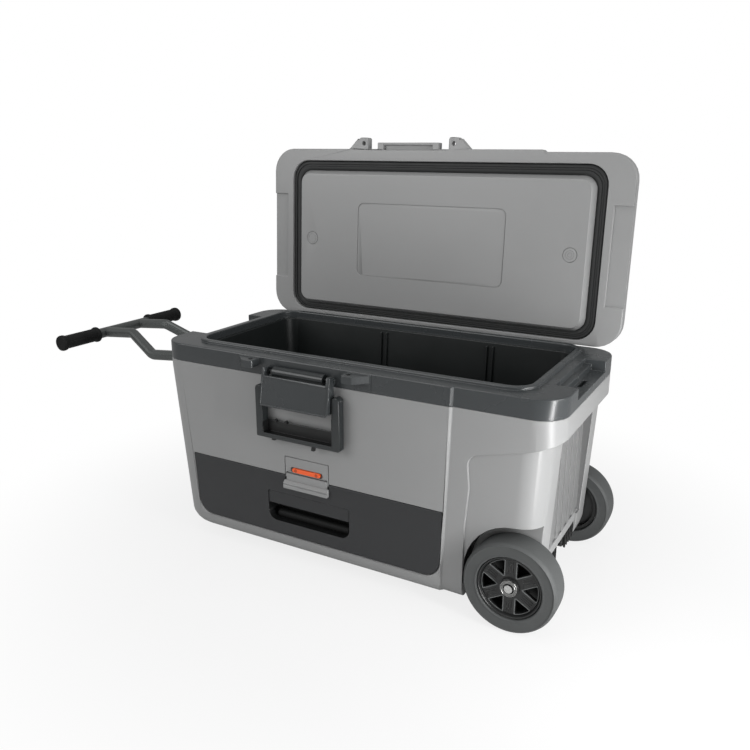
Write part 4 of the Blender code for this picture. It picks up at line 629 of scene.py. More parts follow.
class COOLER_OT_mouldings(bpy.types.Operator, CoolerOperator):
    """Model the shell, lid, liner, collar and tub with rounded edges, and the small mouldings beside them"""
    bl_idname = "cooler.mouldings"
    bl_label = "Mouldings"

    def execute(self, context):
        broad = self.sizes.shell_edge
        fine = self.sizes.fine_edge
        for node, width in (("inner_tub", broad), ("drawer_tray", fine), ("handle_mount_front", fine),
                            ("handle_mount_rear", fine)):
            moulding(node, width)
        self.shell(broad)
        self.liner(fine)
        self.collar(broad)
        self.lid(broad)
        self.dividers()
        return {"FINISHED"}

    def shell(self, width):
        """Outer shell, with painted shade on its wheel wells and on its grip recess."""
        shell = node_form("outer_shell", width, even=True)
        # The wheel wells' faces take the near-black bracket plastic: painted shade in the wells.
        wells = split_off(shell, self.in_well)
        # The grip recess's faces take the darker recess finish: painted shade under the band.
        recess = split_off(shell, inside_box((0.4050, -0.1145, 0.0855), (0.4250, 0.1145, 0.3600)))
        standing_for(shell, "outer_shell")
        fitted(wells, "wheel_wells_painted_shade", "body", "bracket")
        fitted(even_shade(recess), "recess_ribbed_painted_shade", "body", "recess")
        self.apron()

    def in_well(self, spot):
        """Whether a spot lies on the wall of a wheel well: half an arch, then a flat roof past the axle."""
        reach, rise, inner, outer = 0.0993, 0.1090, 0.150, 0.2070
        foot_share, arch_share, roof_share = -0.6, 0.03, 0.02
        across, up = (spot.x - WHEEL_AXIS[0]) / reach, (spot.z - WHEEL_AXIS[1]) / rise
        arch = across < 0.0 and up > foot_share and abs(math.hypot(across, up) - 1.0) < arch_share
        roof = across >= 0.0 and abs(up - 1.0) < roof_share
        return (arch or roof) and inner < abs(spot.y) < outer

    def apron(self):
        """Wall that closes the foot of the grip recess."""
        half, back, face = 0.1138, 0.4128, 0.4164
        foot, top, edge = 0.0680, 0.0875, 0.0012
        apron = slab((back, -half, foot), (face, half, top))
        rounded_edges(apron, edge, segments=3)
        fitted(even_shade(apron), "recess_apron", "body", "shell")

    def liner(self, width):
        """Lid liner with a fine line round its plaque and round its two plugs."""
        liner = closed(node_form("lid_liner", width))
        face = piece_box(liner)[0][2]
        line, depth, corner = 0.0009, 0.0027, 0.016
        left, right, front, rear = -0.1982, 0.1808, -0.0816, 0.0934
        border = rounded_plate(left, right, front, rear, face - OVERCUT, face + depth, corner)
        core = rounded_plate(left + line, right - line, front + line, rear - line,
                             face - 2 * OVERCUT, face + depth + OVERCUT, corner - line)
        cut(border, core)
        cut(liner, border)
        x, y = PLUG_SPOT
        inner, outer, sunk = 0.0149, 0.0161, 0.0020
        for side in (-1, 1):
            groove = spun([(inner, -OVERCUT), (outer, -OVERCUT), (outer, sunk), (inner, sunk)],
                          (side * x, y, face), "Z", 64)
            cut(liner, groove)
        standing_for(opened(liner), "lid_liner")
        self.plug_rings(face)

    def plug_rings(self, face):
        """Raised rings on the plugs: two on the right one, and one on the left."""
        x, y = PLUG_SPOT
        width, rise, sunk = 0.0008, 0.0006, 0.0004
        rings = []
        for side, radius in ((1, 0.0088), (1, 0.0042), (-1, 0.0105)):
            rings.append(spun([(radius, sunk), (radius, -rise / 2), (radius + width / 2, -rise),
                               (radius + width, -rise / 2), (radius + width, sunk)],
                              (side * x, y, face), "Z", 48))
        fitted(opened(even_shade(joined(rings), 60.0)), "plug_rings", "lid", "shell")

    def collar(self, width):
        """Collar with rounded lugs, dark sheets of painted shade in their holes, and a parting line beside
        the right lug.
        """
        collar = node_form("collar", width)
        corner, corner_radius, lug_heights = 0.1055, 0.0060, (0.4040, 0.4230)
        hole, hole_y, hole_top = 0.1170, FRONT_Y - 0.0125, 0.4211
        bore, outer, depth = 0.0042, 0.0052, 0.0150
        painted_shade_sheets = []
        for side in (-1, 1):
            round_corner(collar, (LATCH_X + side * corner, LUG_TIP_Y), (-side, -1), corner_radius,
                         lug_heights, "Z")
            # A near-black sheet inside each lug hole: painted shade.
            painted_shade_sheets.append(spun([(bore, 0.0), (outer, 0.0), (outer, -depth), (bore, -depth)],
                                (LATCH_X + side * hole, hole_y, hole_top), "Z", 40))
        fitted(even_shade(joined(painted_shade_sheets)), "lug_hole_linings", "body", "hollow")
        left, right, foot, top, sunk = 0.0848, 0.0857, 0.3880, 0.4240, 0.0009
        cut(collar, slab((left, FRONT_Y - 4 * OVERCUT, foot), (right, FRONT_Y + sunk, top)))
        standing_for(collar, "collar")

    def lid(self, width):
        """Lid shell with rounded lug tips and a shallow panel on its top."""
        lid = closed(node_form("lid_shell", 0.0))
        lug_end, lug_width, lug_heights = 0.1305, 0.0250, (0.4205, 0.4500)
        outer_radius, inner_radius = 0.006, 0.004
        for side in (-1, 1):
            x = LATCH_X + side * lug_end
            round_corner(lid, (x, LUG_TIP_Y), (side, -1), outer_radius, lug_heights, "Z")
            round_corner(lid, (x - side * lug_width, LUG_TIP_Y), (-side, -1), inner_radius, lug_heights, "Z")
        top = piece_box(lid)[1][2]
        half_length, half_width, sunk, corner = 0.372, 0.128, 0.0012, 0.030
        panel = rounded_plate(-half_length, half_length, -half_width, half_width, top - sunk,
                              top + 4 * OVERCUT, corner)
        cut(lid, panel)
        rounded_edges(lid, width)
        standing_for(opened(lid), "lid_shell")

    def dividers(self):
        """Pairs of upright ribs on the tub's long walls, with a slot for a divider between them."""
        top, low, lean = 0.4085, 0.1880, 0.0125
        half_slot, half_rib, rise, root, edge = 0.0072, 0.0022, 0.0052, 0.0015, 0.0012
        ribs = []
        for x in (-0.0905, 0.1805):
            for wall, way in ((0.1690, 1), (-0.1542, -1)):
                for shift in (-half_slot, half_slot):
                    inner, outer = sorted((wall - way * rise, wall + way * root))
                    rib = slab((x + shift - half_rib, inner, low), (x + shift + half_rib, outer, top))
                    for vertex in rib.data.vertices:
                        if vertex.co.z < (top + low) / 2:
                            vertex.co.y -= way * lean
                    rounded_edges(rib, edge, segments=3)
                    ribs.append(rib)
        fitted(even_shade(joined(ribs)), "tub_divider_ribs", "body", "tub")


class COOLER_OT_latch(bpy.types.Operator, CoolerOperator):
    """Model the draw latch: barrel, lever, bail with painted shade in its pocket, stops and the heads of its
    pins
    """
    bl_idname = "cooler.latch"
    bl_label = "Draw latch"

    def execute(self, context):
        fine = self.sizes.fine_edge
        moulding("latch_barrel", fine)
        self.lever(fine)
        low, high = self.bail(fine)
        self.pegs(low, high)
        self.pin_heads(low, high)
        return {"FINISHED"}

    def round_foot(self, piece, radius):
        """Round the two lower corners of a plate that faces front, and give its box."""
        past = 10 * OVERCUT
        low, high = piece_box(piece)
        for side, x in ((-1, low[0]), (1, high[0])):
            round_corner(piece, (x, low[2]), (side, -1), radius, (low[1] - past, high[1] + past))
        return low, high

    def lever(self, width):
        """Lever with a longer foot than the CAD's, round lower corners and a sunk field in a frame."""
        lever = node_form("latch_lever", 0.0)
        foot_band, longer, corner = 0.006, 0.009, 0.0075
        foot = piece_box(lever)[0][2]
        for vertex in lever.data.vertices:
            if vertex.co.z < foot + foot_band:
                vertex.co.z -= longer
        low, high = self.round_foot(lever, corner)
        side_edge, foot_edge, field_top, sunk, slope = 0.0040, 0.0036, 0.3925, 0.0009, 0.176
        past = 10 * OVERCUT
        field = slab((low[0] + side_edge, low[1] - past, low[2] + foot_edge),
                     (high[0] - side_edge, low[1], field_top))
        for vertex in field.data.vertices:
            if vertex.co.y > low[1] - past / 2:
                vertex.co.y = low[1] + sunk + (vertex.co.z - low[2]) * slope
        cut(lever, field)
        rounded_edges(lever, width, segments=3, angle=50.0)
        standing_for(lever, "latch_lever")

    def bail(self, width):
        """Bail with round lower corners, a window that shows the body, and painted shade on the pocket under
        it.
        """
        bail = node_form("latch_bail", 0.0)
        corner, arm, sill, head = 0.0050, 0.0178, 0.0350, 0.0705
        low, high = self.round_foot(bail, corner)
        left, right = low[0] + arm, high[0] - arm
        cut(bail, slab((left, low[1] - 2 * OVERCUT, low[2] + sill),
                       (right, high[1] + 2 * OVERCUT, low[2] + head)))
        rounded_edges(bail, width * 1.3, segments=3, angle=50.0)
        slack, front, back, floor, top = 0.0005, 0.0008, 0.0020, 0.0095, 0.0340
        # The pocket's faces take the near-black hollow finish: painted shade.
        pocket = split_off(bail, inside_box((left - slack, low[1] + front, low[2] + floor),
                                            (right + slack, high[1] - back, low[2] + top)))
        standing_for(bail, "latch_bail")
        fitted(pocket, "bail_pocket_painted_shade", body_of("latch_bail"), "hollow")
        return low, high

    def pegs(self, low, high):
        """Round stops on the bail's back wall, and tapered stops under its bottom bar. Their near-black tone
        is painted shade.
        """
        radius, length, height, back = 0.0034, 0.0070, 0.0355, 0.0042
        pegs = [disc((x, high[1] - back, low[2] + height), radius, length, "Y", 24)
                for x in (-0.1345, -0.1090)]
        front, rear, root, lean, edge = 0.0040, 0.0105, 0.0030, 0.25, 0.0008
        for x, width, drop in ((-0.1345, 0.0085, 0.0050), (-0.0365, 0.0075, 0.0105)):
            peg = slab((x - width / 2, low[1] + front, low[2] - drop),
                       (x + width / 2, low[1] + rear, low[2] + root))
            for vertex in peg.data.vertices:
                if vertex.co.z < low[2]:
                    vertex.co.x -= drop * lean
            pegs.append(peg)
        for peg in pegs:
            rounded_edges(peg, edge)
        # The stops' near-black tone is painted shade.
        fitted(even_shade(joined(pegs)), "bail_pegs", body_of("latch_bail"), "hollow")

    def pin_heads(self, low, high):
        """Domed heads of the bail's two pins."""
        y, z, sunk = FRONT_Y - 0.0135, 0.3640, 0.0008
        for side, x, label in ((-1, low[0], "left"), (1, high[0], "right")):
            head = spun([(ON_AXIS, side * 0.0007), (0.0026, side * 0.0006), (0.0037, side * 0.0001),
                         (0.0040, side * -0.0006), (ON_AXIS, side * -0.0006)],
                        (x - side * sunk, y, z), "X", 32)
            fitted(even_shade(head, 50.0), "bail_pin_head_" + label, body_of("latch_bail"), "latch")


class COOLER_OT_drawer(bpy.types.Operator, CoolerOperator):
    """Model the drawer's front, its pull with painted shade in its hollow and a visor, its latch plate, tab
    and key
    """
    bl_idname = "cooler.drawer"
    bl_label = "Drawer"

    def execute(self, context):
        fine = self.sizes.fine_edge
        self.front(fine)
        moulding("drawer_latch_plate", fine, angle=55.0)
        self.tab(fine)
        self.visor(fine)
        self.pull_bar()
        self.key(fine)
        return {"FINISHED"}

    def front(self, width):
        """Drawer front, with painted shade on the hollow of its pull."""
        front = node_form("drawer_front", width, angle=55.0)
        # The pull's hollow faces take the near-black hollow finish: painted shade.
        hollow = split_off(front, inside_box((-0.1710, FRONT_Y + 0.0009, 0.0610),
                                             (0.0350, FRONT_Y + 0.0365, 0.1315)))
        standing_for(front, "drawer_front")
        fitted(hollow, "drawer_pull_painted_shade", "drawer", "hollow")

    def tab(self, width):
        """Lift tab with a groove across its face."""
        tab = node_form("drawer_lift_tab", width)
        low, high = piece_box(tab)
        line, half, sunk = low[2] + 0.0085, 0.0007, 0.0014
        cut(tab, slab((low[0] - OVERCUT, low[1] - OVERCUT, line - half),
                      (high[0] + OVERCUT, low[1] + sunk, line + half)))
        standing_for(tab, "drawer_lift_tab")

    def visor(self, width):
        """Visor of the pull with a fine rounded bead along its top and right edges."""
        visor = node_form("drawer_pull_visor", width)
        low, high = piece_box(visor)
        front, back = low[1] - 0.0006, low[1] + 0.001
        near, far, end, foot, edge = 0.0006, 0.0019, 0.003, 0.001, 0.0004
        beads = [slab((low[0] + end, front, high[2] - far), (high[0] - end, back, high[2] - near)),
                 slab((high[0] - far, front, low[2] + foot), (high[0] - near, back, high[2] - end))]
        for bead in beads:
            rounded_edges(bead, edge)
        standing_for(joined([visor, *beads]), "drawer_pull_visor")

    def pull_bar(self):
        """Rounded finger bar across the back of the pull."""
        centre, radius, length, edge = (-0.0665, FRONT_Y + 0.0250, 0.0690), 0.0105, 0.1830, 0.0040
        bar = disc(centre, radius, length, "X")
        rounded_edges(bar, edge, segments=4, angle=60.0)
        fitted(even_shade(bar), "drawer_pull_bar", "drawer", "grip")

    def key(self, width):
        """Orange slider with a finger dimple at each end, darker by painted shade."""
        low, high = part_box("drawer_lock_key")
        z = (low[2] + high[2]) / 2
        height_share, inset = 0.86, 0.0085
        slider = node_form("drawer_lock_key", 0.0)
        for vertex in slider.data.vertices:
            vertex.co.z = z + (vertex.co.z - z) * height_share
        rounded_edges(slider, width)
        standing_for(slider, "drawer_lock_key")
        for x, label in ((low[0] + inset, "left"), (high[0] - inset, "right")):
            dimple = spun([(ON_AXIS, 0.0001), (0.0016, -0.0001), (0.0029, -0.0004), (0.0034, -0.0003),
                           (0.0036, 0.0004), (ON_AXIS, 0.0004)], (x, low[1], z), "Y", 32)
            # The dimples' darker orange is painted shade.
            fitted(even_shade(dimple, 50.0), "key_dimple_painted_shade_" + label, body_of("drawer_lock_key"), "dimple")


class COOLER_OT_wheels(bpy.types.Operator, CoolerOperator):
    """Model the tyres, the spoked rims, the hubs and the ribs of the axle brackets"""
    bl_idname = "cooler.wheels"
    bl_label = "Wheels"

    def execute(self, context):
        centre = (WHEEL_AXIS[0], 0.0, WHEEL_AXIS[1])
        tyre = self.tyre(centre)
        rim = self.rim(centre)
        washer, nut = self.hub(centre)
        lips = self.lips(centre)
        for side, label in SIDES:
            turn = Matrix.Identity(4) if side < 0 else turn_about(centre, math.pi, "Z")
            body = "wheel_" + label
            fitted(copied(tyre, turn), "tyre_" + label + "_rubber", body, "tyre", ("tyre_" + label,))
            fitted(copied(rim, turn), "rim_" + label + "_spoked", body, "rim", ("wheel_rim_" + label,))
            # The lips' light tone is a painted highlight.
            fitted(copied(lips, turn), "rim_lips_painted_highlight_" + label, body, "rim_painted_highlight")
            fitted(copied(washer, turn), "hub_ring_" + label, "body", "washer", ("axle_cap_" + label,))
            fitted(copied(nut, turn), "axle_end_" + label, "body", "metal")
        self.brackets()
        for piece in (tyre, rim, lips, washer, nut):
            bpy.data.objects.remove(piece, do_unlink=True)
        return {"FINISHED"}

    def tyre(self, centre):
        """Solid tyre with a slightly crowned tread, a line on each shoulder and a stepped sidewall."""
        face = -WHEEL_FACE
        back = face + 0.057
        half = [(0.0629, 0.0030), (0.0642, 0.0012), (0.0662, 0.0010), (0.0672, 0.0016), (0.0700, 0.0014),
                (0.0836, 0.0010), (0.0844, 0.0002), (0.0854, 0.0000), (0.0862, 0.0004), (0.0866, 0.0014),
                (0.0890, 0.0034), (0.0899, 0.0058), (0.0902, 0.0074), (0.0897, 0.0082), (0.0903, 0.0090),
                (0.0907, 0.0150), (0.0909, 0.0285)]
        profile = [(r, face + a) for r, a in half] + [(r, back - a) for r, a in reversed(half[:-1])]
        return even_shade(spun(profile, centre, steps=128), 60.0)

    def rim(self, centre):
        """Rim with a rolled lip, six flat spokes between wedge-shaped openings, a hub and a back wall."""
        face = -WHEEL_FACE
        lip, web, back = face + 0.0045, face + WEB_DEPTH, face + 0.050
        plate = self.spoked_plate(centre, web)
        barrel = spun([(0.0622, lip + 0.0010), (0.0610, lip), (0.0590, lip), (0.0578, lip + 0.0012),
                       (0.0556, web + 0.0030), (0.0550, web + 0.0120), (0.0550, back), (0.0622, back)],
                      centre)
        hub = spun([(0.0083, web - 0.0053), (0.0172, web - 0.0053), (0.0184, web - 0.0045),
                    (0.0189, web - 0.0020), (0.0190, web + 0.0060), (0.0165, face + 0.0600),
                    (0.0083, face + 0.0600)], centre, steps=64)
        back_wall = spun([(0.0160, face + 0.0450), (0.0250, face + 0.0440), (0.0300, face + 0.0400),
                          (0.0551, face + 0.0380), (0.0551, face + 0.0410), (0.0310, face + 0.0430),
                          (0.0260, face + 0.0470), (0.0160, face + 0.0480)], centre)
        return even_shade(joined([plate, barrel, hub, back_wall]), 35.0)

    def spoked_plate(self, centre, web):
        """Plate with its openings, and three fine grooves along each spoke."""
        x, z = WHEEL_AXIS
        radius, thickness, edge = 0.0560, 0.0090, 0.0009
        start, end, half, sunk, pitch = 0.0290, 0.0500, 0.0007, 0.0006, 0.0045
        plate = disc((x, web + thickness / 2, z), radius, thickness, "Y", 96)
        wedge = self.wedge(self.sizes.spoke_width, OPENING_REACH, OPENING_CORNER)
        for index in range(SPOKES):
            cut(plate, copied(wedge, turn_about(centre, spoke_angle(index), "Y")))
            for shift in (-pitch, 0.0, pitch):
                groove = slab((x + start, web - 2 * OVERCUT, z + shift - half),
                              (x + end, web + sunk, z + shift + half))
                cut(plate, turned(groove, spoke_angle(index + 0.5), "Y", centre))
        bpy.data.objects.remove(wedge, do_unlink=True)
        return rounded_edges(plate, edge, angle=50.0)

    def wedge(self, start, outer, corner):
        """A wedge-shaped opening between two spokes, as a solid."""
        x, z = WHEEL_AXIS
        web = -WHEEL_FACE + WEB_DEPTH
        reach, depth = 0.060, 0.040
        middle = (x + start + reach, web, z)
        bare()
        bpy.ops.mesh.primitive_cylinder_add(vertices=3, radius=reach, depth=depth, location=middle,
                                            rotation=(math.pi / 2, 0.0, 0.0))
        wedge = turned(settle(bpy.context.object), -math.pi / 2, "Y", middle)
        cut(wedge, disc((x, web, z), outer, depth * 1.5, "Y", 96), "INTERSECT")
        self.round_corners(wedge, corner)
        return wedge

    def round_corners(self, wedge, radius):
        """Round the wedge's three upright corners."""
        pick(wedge)
        bpy.ops.object.mode_set(mode="EDIT")
        bpy.ops.mesh.select_all(action="DESELECT")
        bpy.ops.mesh.select_mode(type="EDGE")
        bpy.ops.object.mode_set(mode="OBJECT")
        normals = {}
        for face in wedge.data.polygons:
            for key in face.edge_keys:
                normals.setdefault(key, []).append(face.normal)
        for edge in wedge.data.edges:
            a, b = (wedge.data.vertices[index].co for index in edge.vertices)
            upright = abs((b - a).normalized().y) > 0.9
            sides = normals[edge.key]
            edge.select = upright and len(sides) == 2 and sides[0].angle(sides[1]) > math.radians(25.0)
        bpy.ops.object.mode_set(mode="EDIT")
        bpy.ops.mesh.bevel(offset=radius, segments=4, affect="EDGES", clamp_overlap=False)
        bare()

    def lips(self, centre):
        """Raised lip round each opening of the rim, eight times lighter than the rim plastic as a painted
        highlight.
        """
        x, z = WHEEL_AXIS
        web = -WHEEL_FACE + WEB_DEPTH
        inward, outward, corner, rise, half, edge = 0.0036, 0.0012, 0.0045, 0.0008, 0.1, 0.0003
        lip = self.wedge(self.sizes.spoke_width - inward, OPENING_REACH + outward, corner)
        cut(lip, self.wedge(self.sizes.spoke_width, OPENING_REACH, OPENING_CORNER))
        cut(lip, slab((x - half, web - rise, z - half), (x + half, web + OVERCUT, z + half)), "INTERSECT")
        even_shade(rounded_edges(lip, edge, angle=50.0), 60.0)
        ring = [copied(lip, turn_about(centre, spoke_angle(index), "Y"))
                for index in range(SPOKES)]
        bpy.data.objects.remove(lip, do_unlink=True)
        return joined(ring)

    def hub(self, centre):
        """Bright ring washer on the hub, and the axle's rounded end inside it."""
        face = -WHEEL_FACE + 0.0046
        ring = spun([(0.0098, face), (0.0098, face - 0.0014), (0.0106, face - 0.0024),
                     (0.0124, face - 0.0024), (0.0130, face - 0.0018), (0.0142, face - 0.0018),
                     (0.0148, face - 0.0027), (0.0162, face - 0.0025), (0.0170, face - 0.0014),
                     (0.0172, face)], centre, steps=64)
        top = -WHEEL_FACE + 0.0004
        nut = spun([(ON_AXIS, top), (0.0028, top + 0.0004), (0.0050, top + 0.0014), (0.0064, top + 0.0030),
                    (0.0070, top + 0.0048), (ON_AXIS, top + 0.0048)], centre, steps=48)
        return even_shade(ring), even_shade(nut, 50.0)

    def brackets(self):
        """Upright ribs, with bolt heads between them, on the outer face of each axle bracket."""
        face, low, high = 0.4119, 0.0315, 0.0662
        count, first, pitch = 5, 0.0345, 0.0139
        half_rib, rib_rise, rib_edge = 0.0016, 0.0040, 0.0006
        head_radius, head_depth, head_z, head_edge = 0.0036, 0.0030, 0.0420, 0.0005
        for side, label in SIDES:
            pieces = []
            for step in range(count):
                y = side * (first + pitch * step)
                rib = slab((face, y - half_rib, low), (face + rib_rise, y + half_rib, high))
                pieces.append(rounded_edges(rib, rib_edge))
            for step in range(count - 1):
                y = side * (first + pitch * (step + 0.5))
                head = disc((face + head_depth * 0.4, y, head_z), head_radius, head_depth, "X", 6)
                pieces.append(rounded_edges(head, head_edge))
            fitted(even_shade(joined(pieces)), "bracket_ribs_" + label, "body", "bracket")


class COOLER_OT_seal(bpy.types.Operator, CoolerOperator):
    """Model the ribbed rubber seal on the lid"""
    bl_idname = "cooler.seal"
    bl_label = "Lid seal"

    def execute(self, context):
        face, base, wall = 0.4323, 0.4363, 0.0012
        left, right, front, rear, radius = -0.3951, 0.3951, -0.1802, 0.1930, 0.0436
        seal = rounded_plane(left, right, front, rear, base, radius, 14, turn=(math.pi, 0.0, 0.0))
        height, rib = base - face, self.sizes.seal_rib
        insets = ((0.0012, height * 0.55), (0.0014, height * 0.45), (0.0036, 0.0), (0.0012, -rib),
                  (0.0030, 0.0), (0.0012, rib), (0.0040, 0.0), (0.0013, -rib * 0.7), (0.0022, -rib * 0.3))
        for inset, rise in insets:
            bpy.ops.mesh.inset(thickness=inset, depth=rise, use_even_offset=True)
        bpy.ops.mesh.delete(type="FACE")
        bare()
        liner_outline = (0.3726, -0.1571, 0.1751, 0.0306)
        self.widen(seal, (right, front, rear, radius), liner_outline, sum(inset for inset, rise in insets))
        step = seal.modifiers.new("wall", "SOLIDIFY")
        step.thickness = wall
        step.offset = -1.0
        pick(seal)
        bpy.ops.object.modifier_apply(modifier=step.name)
        even_shade(seal, 50.0)
        fitted(opened(seal), "lid_seal_ribbed", "lid", "seal", ("lid_gasket",))
        return {"FINISHED"}

    def widen(self, seal, outer, inner, inset):
        """Spread the seal's loops between its outer outline and the lid liner's.

        An outline is its half length, its front, its rear and its corner radius.
        """
        half, front, rear, radius = outer
        for vertex in seal.data.vertices:
            spot = vertex.co
            end, side = (1 if spot.x > 0 else -1), (1 if spot.y > (front + rear) / 2 else -1)
            across = spot.x - end * (half - radius)
            along = spot.y - (rear - radius if side > 0 else front + radius)
            share = (radius - math.hypot(across, along)) / inset
            turn = math.atan2(along, across)
            x, low, high, r = (a + (b - a) * share for a, b in zip(outer, inner))
            spot.x = end * (x - r) + r * math.cos(turn)
            spot.y = (high - r if side > 0 else low + r) + r * math.sin(turn)


class COOLER_OT_grips(bpy.types.Operator, CoolerOperator):
    """Model the ringed hand grips, and the heads of the handle's pins"""
    bl_idname = "cooler.grips"
    bl_label = "Hand grips"

    def execute(self, context):
        low, high = (Vector(corner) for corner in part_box("handle_crossbar"))
        centre = ((low.x + high.x) / 2, 0.0, (low.z + high.z) / 2)
        profile = self.profile()
        for side, label in SIDES:
            grip = spun([(radius, side * along) for radius, along in profile], centre, steps=64)
            even_shade(grip, 50.0)
            fitted(grip, "grip_" + label + "_rubber", "handle", "grip", ("handle_grip_" + label,))
        self.pivots()
        return {"FINISHED"}

    def profile(self):
        """A grip's radii along the crossbar: inner flange, rings, end knob, closed end and bore."""
        inner, outer, wall, bore = 0.0880, 0.2020, 0.0160, 0.0130
        ring, count = self.sizes.grip_ring, 22
        first, last = inner + 0.0120, outer - 0.0150
        pitch = (last - first) / count
        points = [(bore, inner), (0.0176, inner), (0.0190, inner + 0.0012), (0.0194, inner + 0.0040),
                  (0.0190, inner + 0.0068), (0.0172, inner + 0.0092), (wall, inner + 0.0110)]
        for index in range(count):
            start = first + pitch * index
            points += [(wall, start), (wall + ring, start + pitch * 0.25),
                       (wall + ring, start + pitch * 0.6), (wall, start + pitch * 0.85)]
        points += [(wall, outer - 0.0148), (0.0182, outer - 0.0122), (0.0192, outer - 0.0090),
                   (0.0192, outer - 0.0040), (0.0184, outer - 0.0014), (0.0166, outer - 0.0002),
                   (0.0130, outer - 0.0002), (0.0120, outer - 0.0012), (ON_AXIS, outer - 0.0012),
                   (ON_AXIS, outer - 0.0038), (bore, outer - 0.0038)]
        return points

    def pivots(self):
        """Domed heads on both ends of each handle pin."""
        for label in ("front", "rear"):
            low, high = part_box("handle_pin_" + label)
            x, z = (low[0] + high[0]) / 2, (low[2] + high[2]) / 2
            heads = [spun([(ON_AXIS, way * 0.0021), (0.0034, way * 0.0018), (0.0056, way * 0.0011),
                           (0.0065, way * 0.0002), (0.0065, way * -0.0003), (ON_AXIS, way * -0.0003)],
                          (x, y, z), "Y", 40) for way, y in ((-1, low[1]), (1, high[1]))]
            fitted(even_shade(joined(heads), 50.0), "handle_pivot_heads_" + label, "body", "latch")


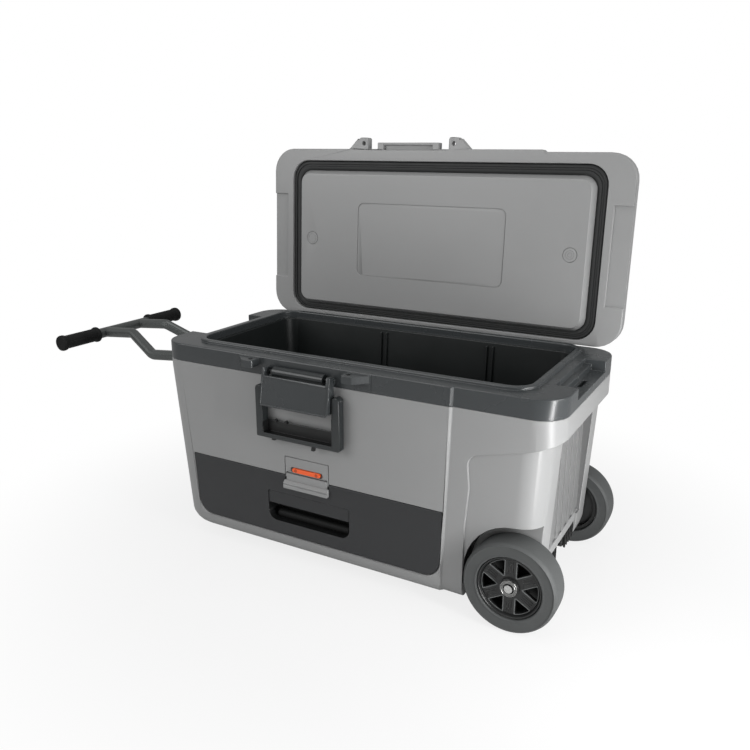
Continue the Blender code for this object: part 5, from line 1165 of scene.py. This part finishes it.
class COOLER_OT_stage(bpy.types.Operator, CoolerOperator):
    """Set the floor, the lamps, the sky and the camera"""
    bl_idname = "cooler.stage"
    bl_label = "Stage"

    def execute(self, context):
        studio = context.scene.cooler_studio
        self.floor()
        self.sky(context.scene, studio.sky)
        for name, power, size, spot, aim in (
                ("key lamp", studio.key_light, (0.9, 1.2), (2.1, -0.1, 0.85), (0.35, 0.0, 0.15)),
                ("fill lamp", studio.fill_light, (1.8, 1.4), (-1.4, -2.2, 1.5), (-0.05, 0.0, 0.4)),
                ("strip lamp", studio.strip_light, (0.05, 0.62), (0.98, -0.44, 0.28), (0.42, -0.18, 0.18)),
                ("top lamp", studio.top_light, (2.0, 1.4), (-0.1, -0.2, 2.6), (0.0, 0.0, 0.2))):
            self.lamp(name, power, size, spot, aim)
        self.camera(context.scene, studio.lens)
        context.scene.view_settings.view_transform = "Standard"
        return {"FINISHED"}

    def floor(self):
        """A pale floor with a soft reflection near the cooler, which fades out to the white of the sky."""
        bare()
        bpy.ops.mesh.primitive_plane_add(size=16.0, location=(0.0, 0.0, FLOOR_Z))
        floor = settle(bpy.context.object)
        floor.name = "floor"
        made, tree, shader = new_material("pale floor")
        shader.inputs["Base Color"].default_value = (0.62, 0.62, 0.62, 1.0)
        shader.inputs["Roughness"].default_value = 0.14
        shader.inputs["Specular IOR Level"].default_value = 0.35
        glow = tree.nodes.new("ShaderNodeEmission")
        glow.inputs["Color"].default_value = (1.0, 1.0, 1.0, 1.0)
        place = tree.nodes.new("ShaderNodeTexCoord")
        reach = tree.nodes.new("ShaderNodeVectorMath")
        reach.operation = "LENGTH"
        fade = tree.nodes.new("ShaderNodeMapRange")
        fade.interpolation_type = "SMOOTHSTEP"
        for name, value in (("From Min", 0.45), ("From Max", 1.10), ("To Min", 0.80), ("To Max", 1.0)):
            fade.inputs[name].default_value = value
        path = tree.nodes.new("ShaderNodeLightPath")
        seen = tree.nodes.new("ShaderNodeMath")
        seen.operation = "MULTIPLY"
        mix = tree.nodes.new("ShaderNodeMixShader")
        link = tree.links.new
        link(place.outputs["Object"], reach.inputs[0])
        link(reach.outputs["Value"], fade.inputs["Value"])
        link(fade.outputs["Result"], seen.inputs[0])
        link(path.outputs["Is Camera Ray"], seen.inputs[1])
        link(seen.outputs["Value"], mix.inputs["Fac"])
        link(shader.outputs["BSDF"], mix.inputs[1])
        link(glow.outputs["Emission"], mix.inputs[2])
        link(mix.outputs["Shader"], tree.nodes["Material Output"].inputs["Surface"])
        floor.data.materials.append(made)

    def sky(self, scene, strength):
        """Even light from all round, which the camera sees as white."""
        world = bpy.data.worlds.new("studio sky")
        scene.world = world
        world.use_nodes = True
        tree = world.node_tree
        light = tree.nodes["Background"]
        white = tree.nodes.new("ShaderNodeBackground")
        for node, glow in ((light, strength), (white, 1.0)):
            node.inputs["Color"].default_value = (1.0, 1.0, 1.0, 1.0)
            node.inputs["Strength"].default_value = glow
        path = tree.nodes.new("ShaderNodeLightPath")
        mix = tree.nodes.new("ShaderNodeMixShader")
        link = tree.links.new
        link(path.outputs["Is Camera Ray"], mix.inputs["Fac"])
        link(light.outputs["Background"], mix.inputs[1])
        link(white.outputs["Background"], mix.inputs[2])
        link(mix.outputs["Shader"], tree.nodes["World Output"].inputs["Surface"])

    def lamp(self, name, power, size, spot, aim):
        """An area lamp of a size at a spot, aimed at another, that the camera doesn't see."""
        data = bpy.data.lights.new(name, "AREA")
        data.shape = "RECTANGLE"
        data.size, data.size_y = size
        data.energy = power
        lamp = bpy.data.objects.new(name, data)
        bpy.context.collection.objects.link(lamp)
        lamp.location = spot
        lamp.visible_camera = False
        lamp.rotation_euler = (Vector(aim) - Vector(spot)).to_track_quat("-Z", "Y").to_euler()

    def camera(self, scene, lens):
        """The photo's camera: where it stands, how far it looks round and down, and its slight roll."""
        place = (0.76956, -1.42251, 0.83686)
        round_by, down_by, roll = math.radians(29.11), math.radians(16.51), math.radians(0.118)
        data = bpy.data.cameras.new("photo camera")
        data.lens = lens
        data.sensor_width = 36.0
        camera = bpy.data.objects.new("photo camera", data)
        bpy.context.collection.objects.link(camera)
        turn = Matrix.Rotation(round_by, 4, "Z") @ Matrix.Rotation(math.pi / 2 - down_by, 4, "X")
        camera.matrix_world = Matrix.Translation(place) @ turn @ Matrix.Rotation(roll, 4, "Z")
        scene.camera = camera


OPERATORS = (COOLER_OT_finishes, COOLER_OT_mouldings, COOLER_OT_latch, COOLER_OT_drawer, COOLER_OT_wheels,
             COOLER_OT_seal, COOLER_OT_grips, COOLER_OT_stage)


class COOLER_PT_panel(bpy.types.Panel):
    """Lists the cooler's pieces, colours, sizes and studio values"""
    bl_label = "Wheeled cooler"
    bl_idname = "COOLER_PT_panel"
    bl_space_type = "VIEW_3D"
    bl_region_type = "UI"
    bl_category = "Cooler"

    def draw(self, context):
        for kind in OPERATORS:
            self.layout.operator(kind.bl_idname)
        for group in (context.scene.cooler_colours, context.scene.cooler_sizes, context.scene.cooler_studio):
            box = self.layout.box()
            for name in group.__annotations__:
                box.prop(group, name)


CLASSES = (CoolerColours, CoolerSizes, CoolerStudio, *OPERATORS, COOLER_PT_panel)


def register():
    for kind in CLASSES:
        bpy.utils.register_class(kind)
    bpy.types.Scene.cooler_colours = bpy.props.PointerProperty(type=CoolerColours)
    bpy.types.Scene.cooler_sizes = bpy.props.PointerProperty(type=CoolerSizes)
    bpy.types.Scene.cooler_studio = bpy.props.PointerProperty(type=CoolerStudio)


def unregister():
    del bpy.types.Scene.cooler_studio
    del bpy.types.Scene.cooler_sizes
    del bpy.types.Scene.cooler_colours
    for kind in reversed(CLASSES):
        bpy.utils.unregister_class(kind)


def main():
    register()
    for kind in OPERATORS:
        group, name = kind.bl_idname.split(".")
        getattr(getattr(bpy.ops, group), name)()


if __name__ == "__main__":
    main()
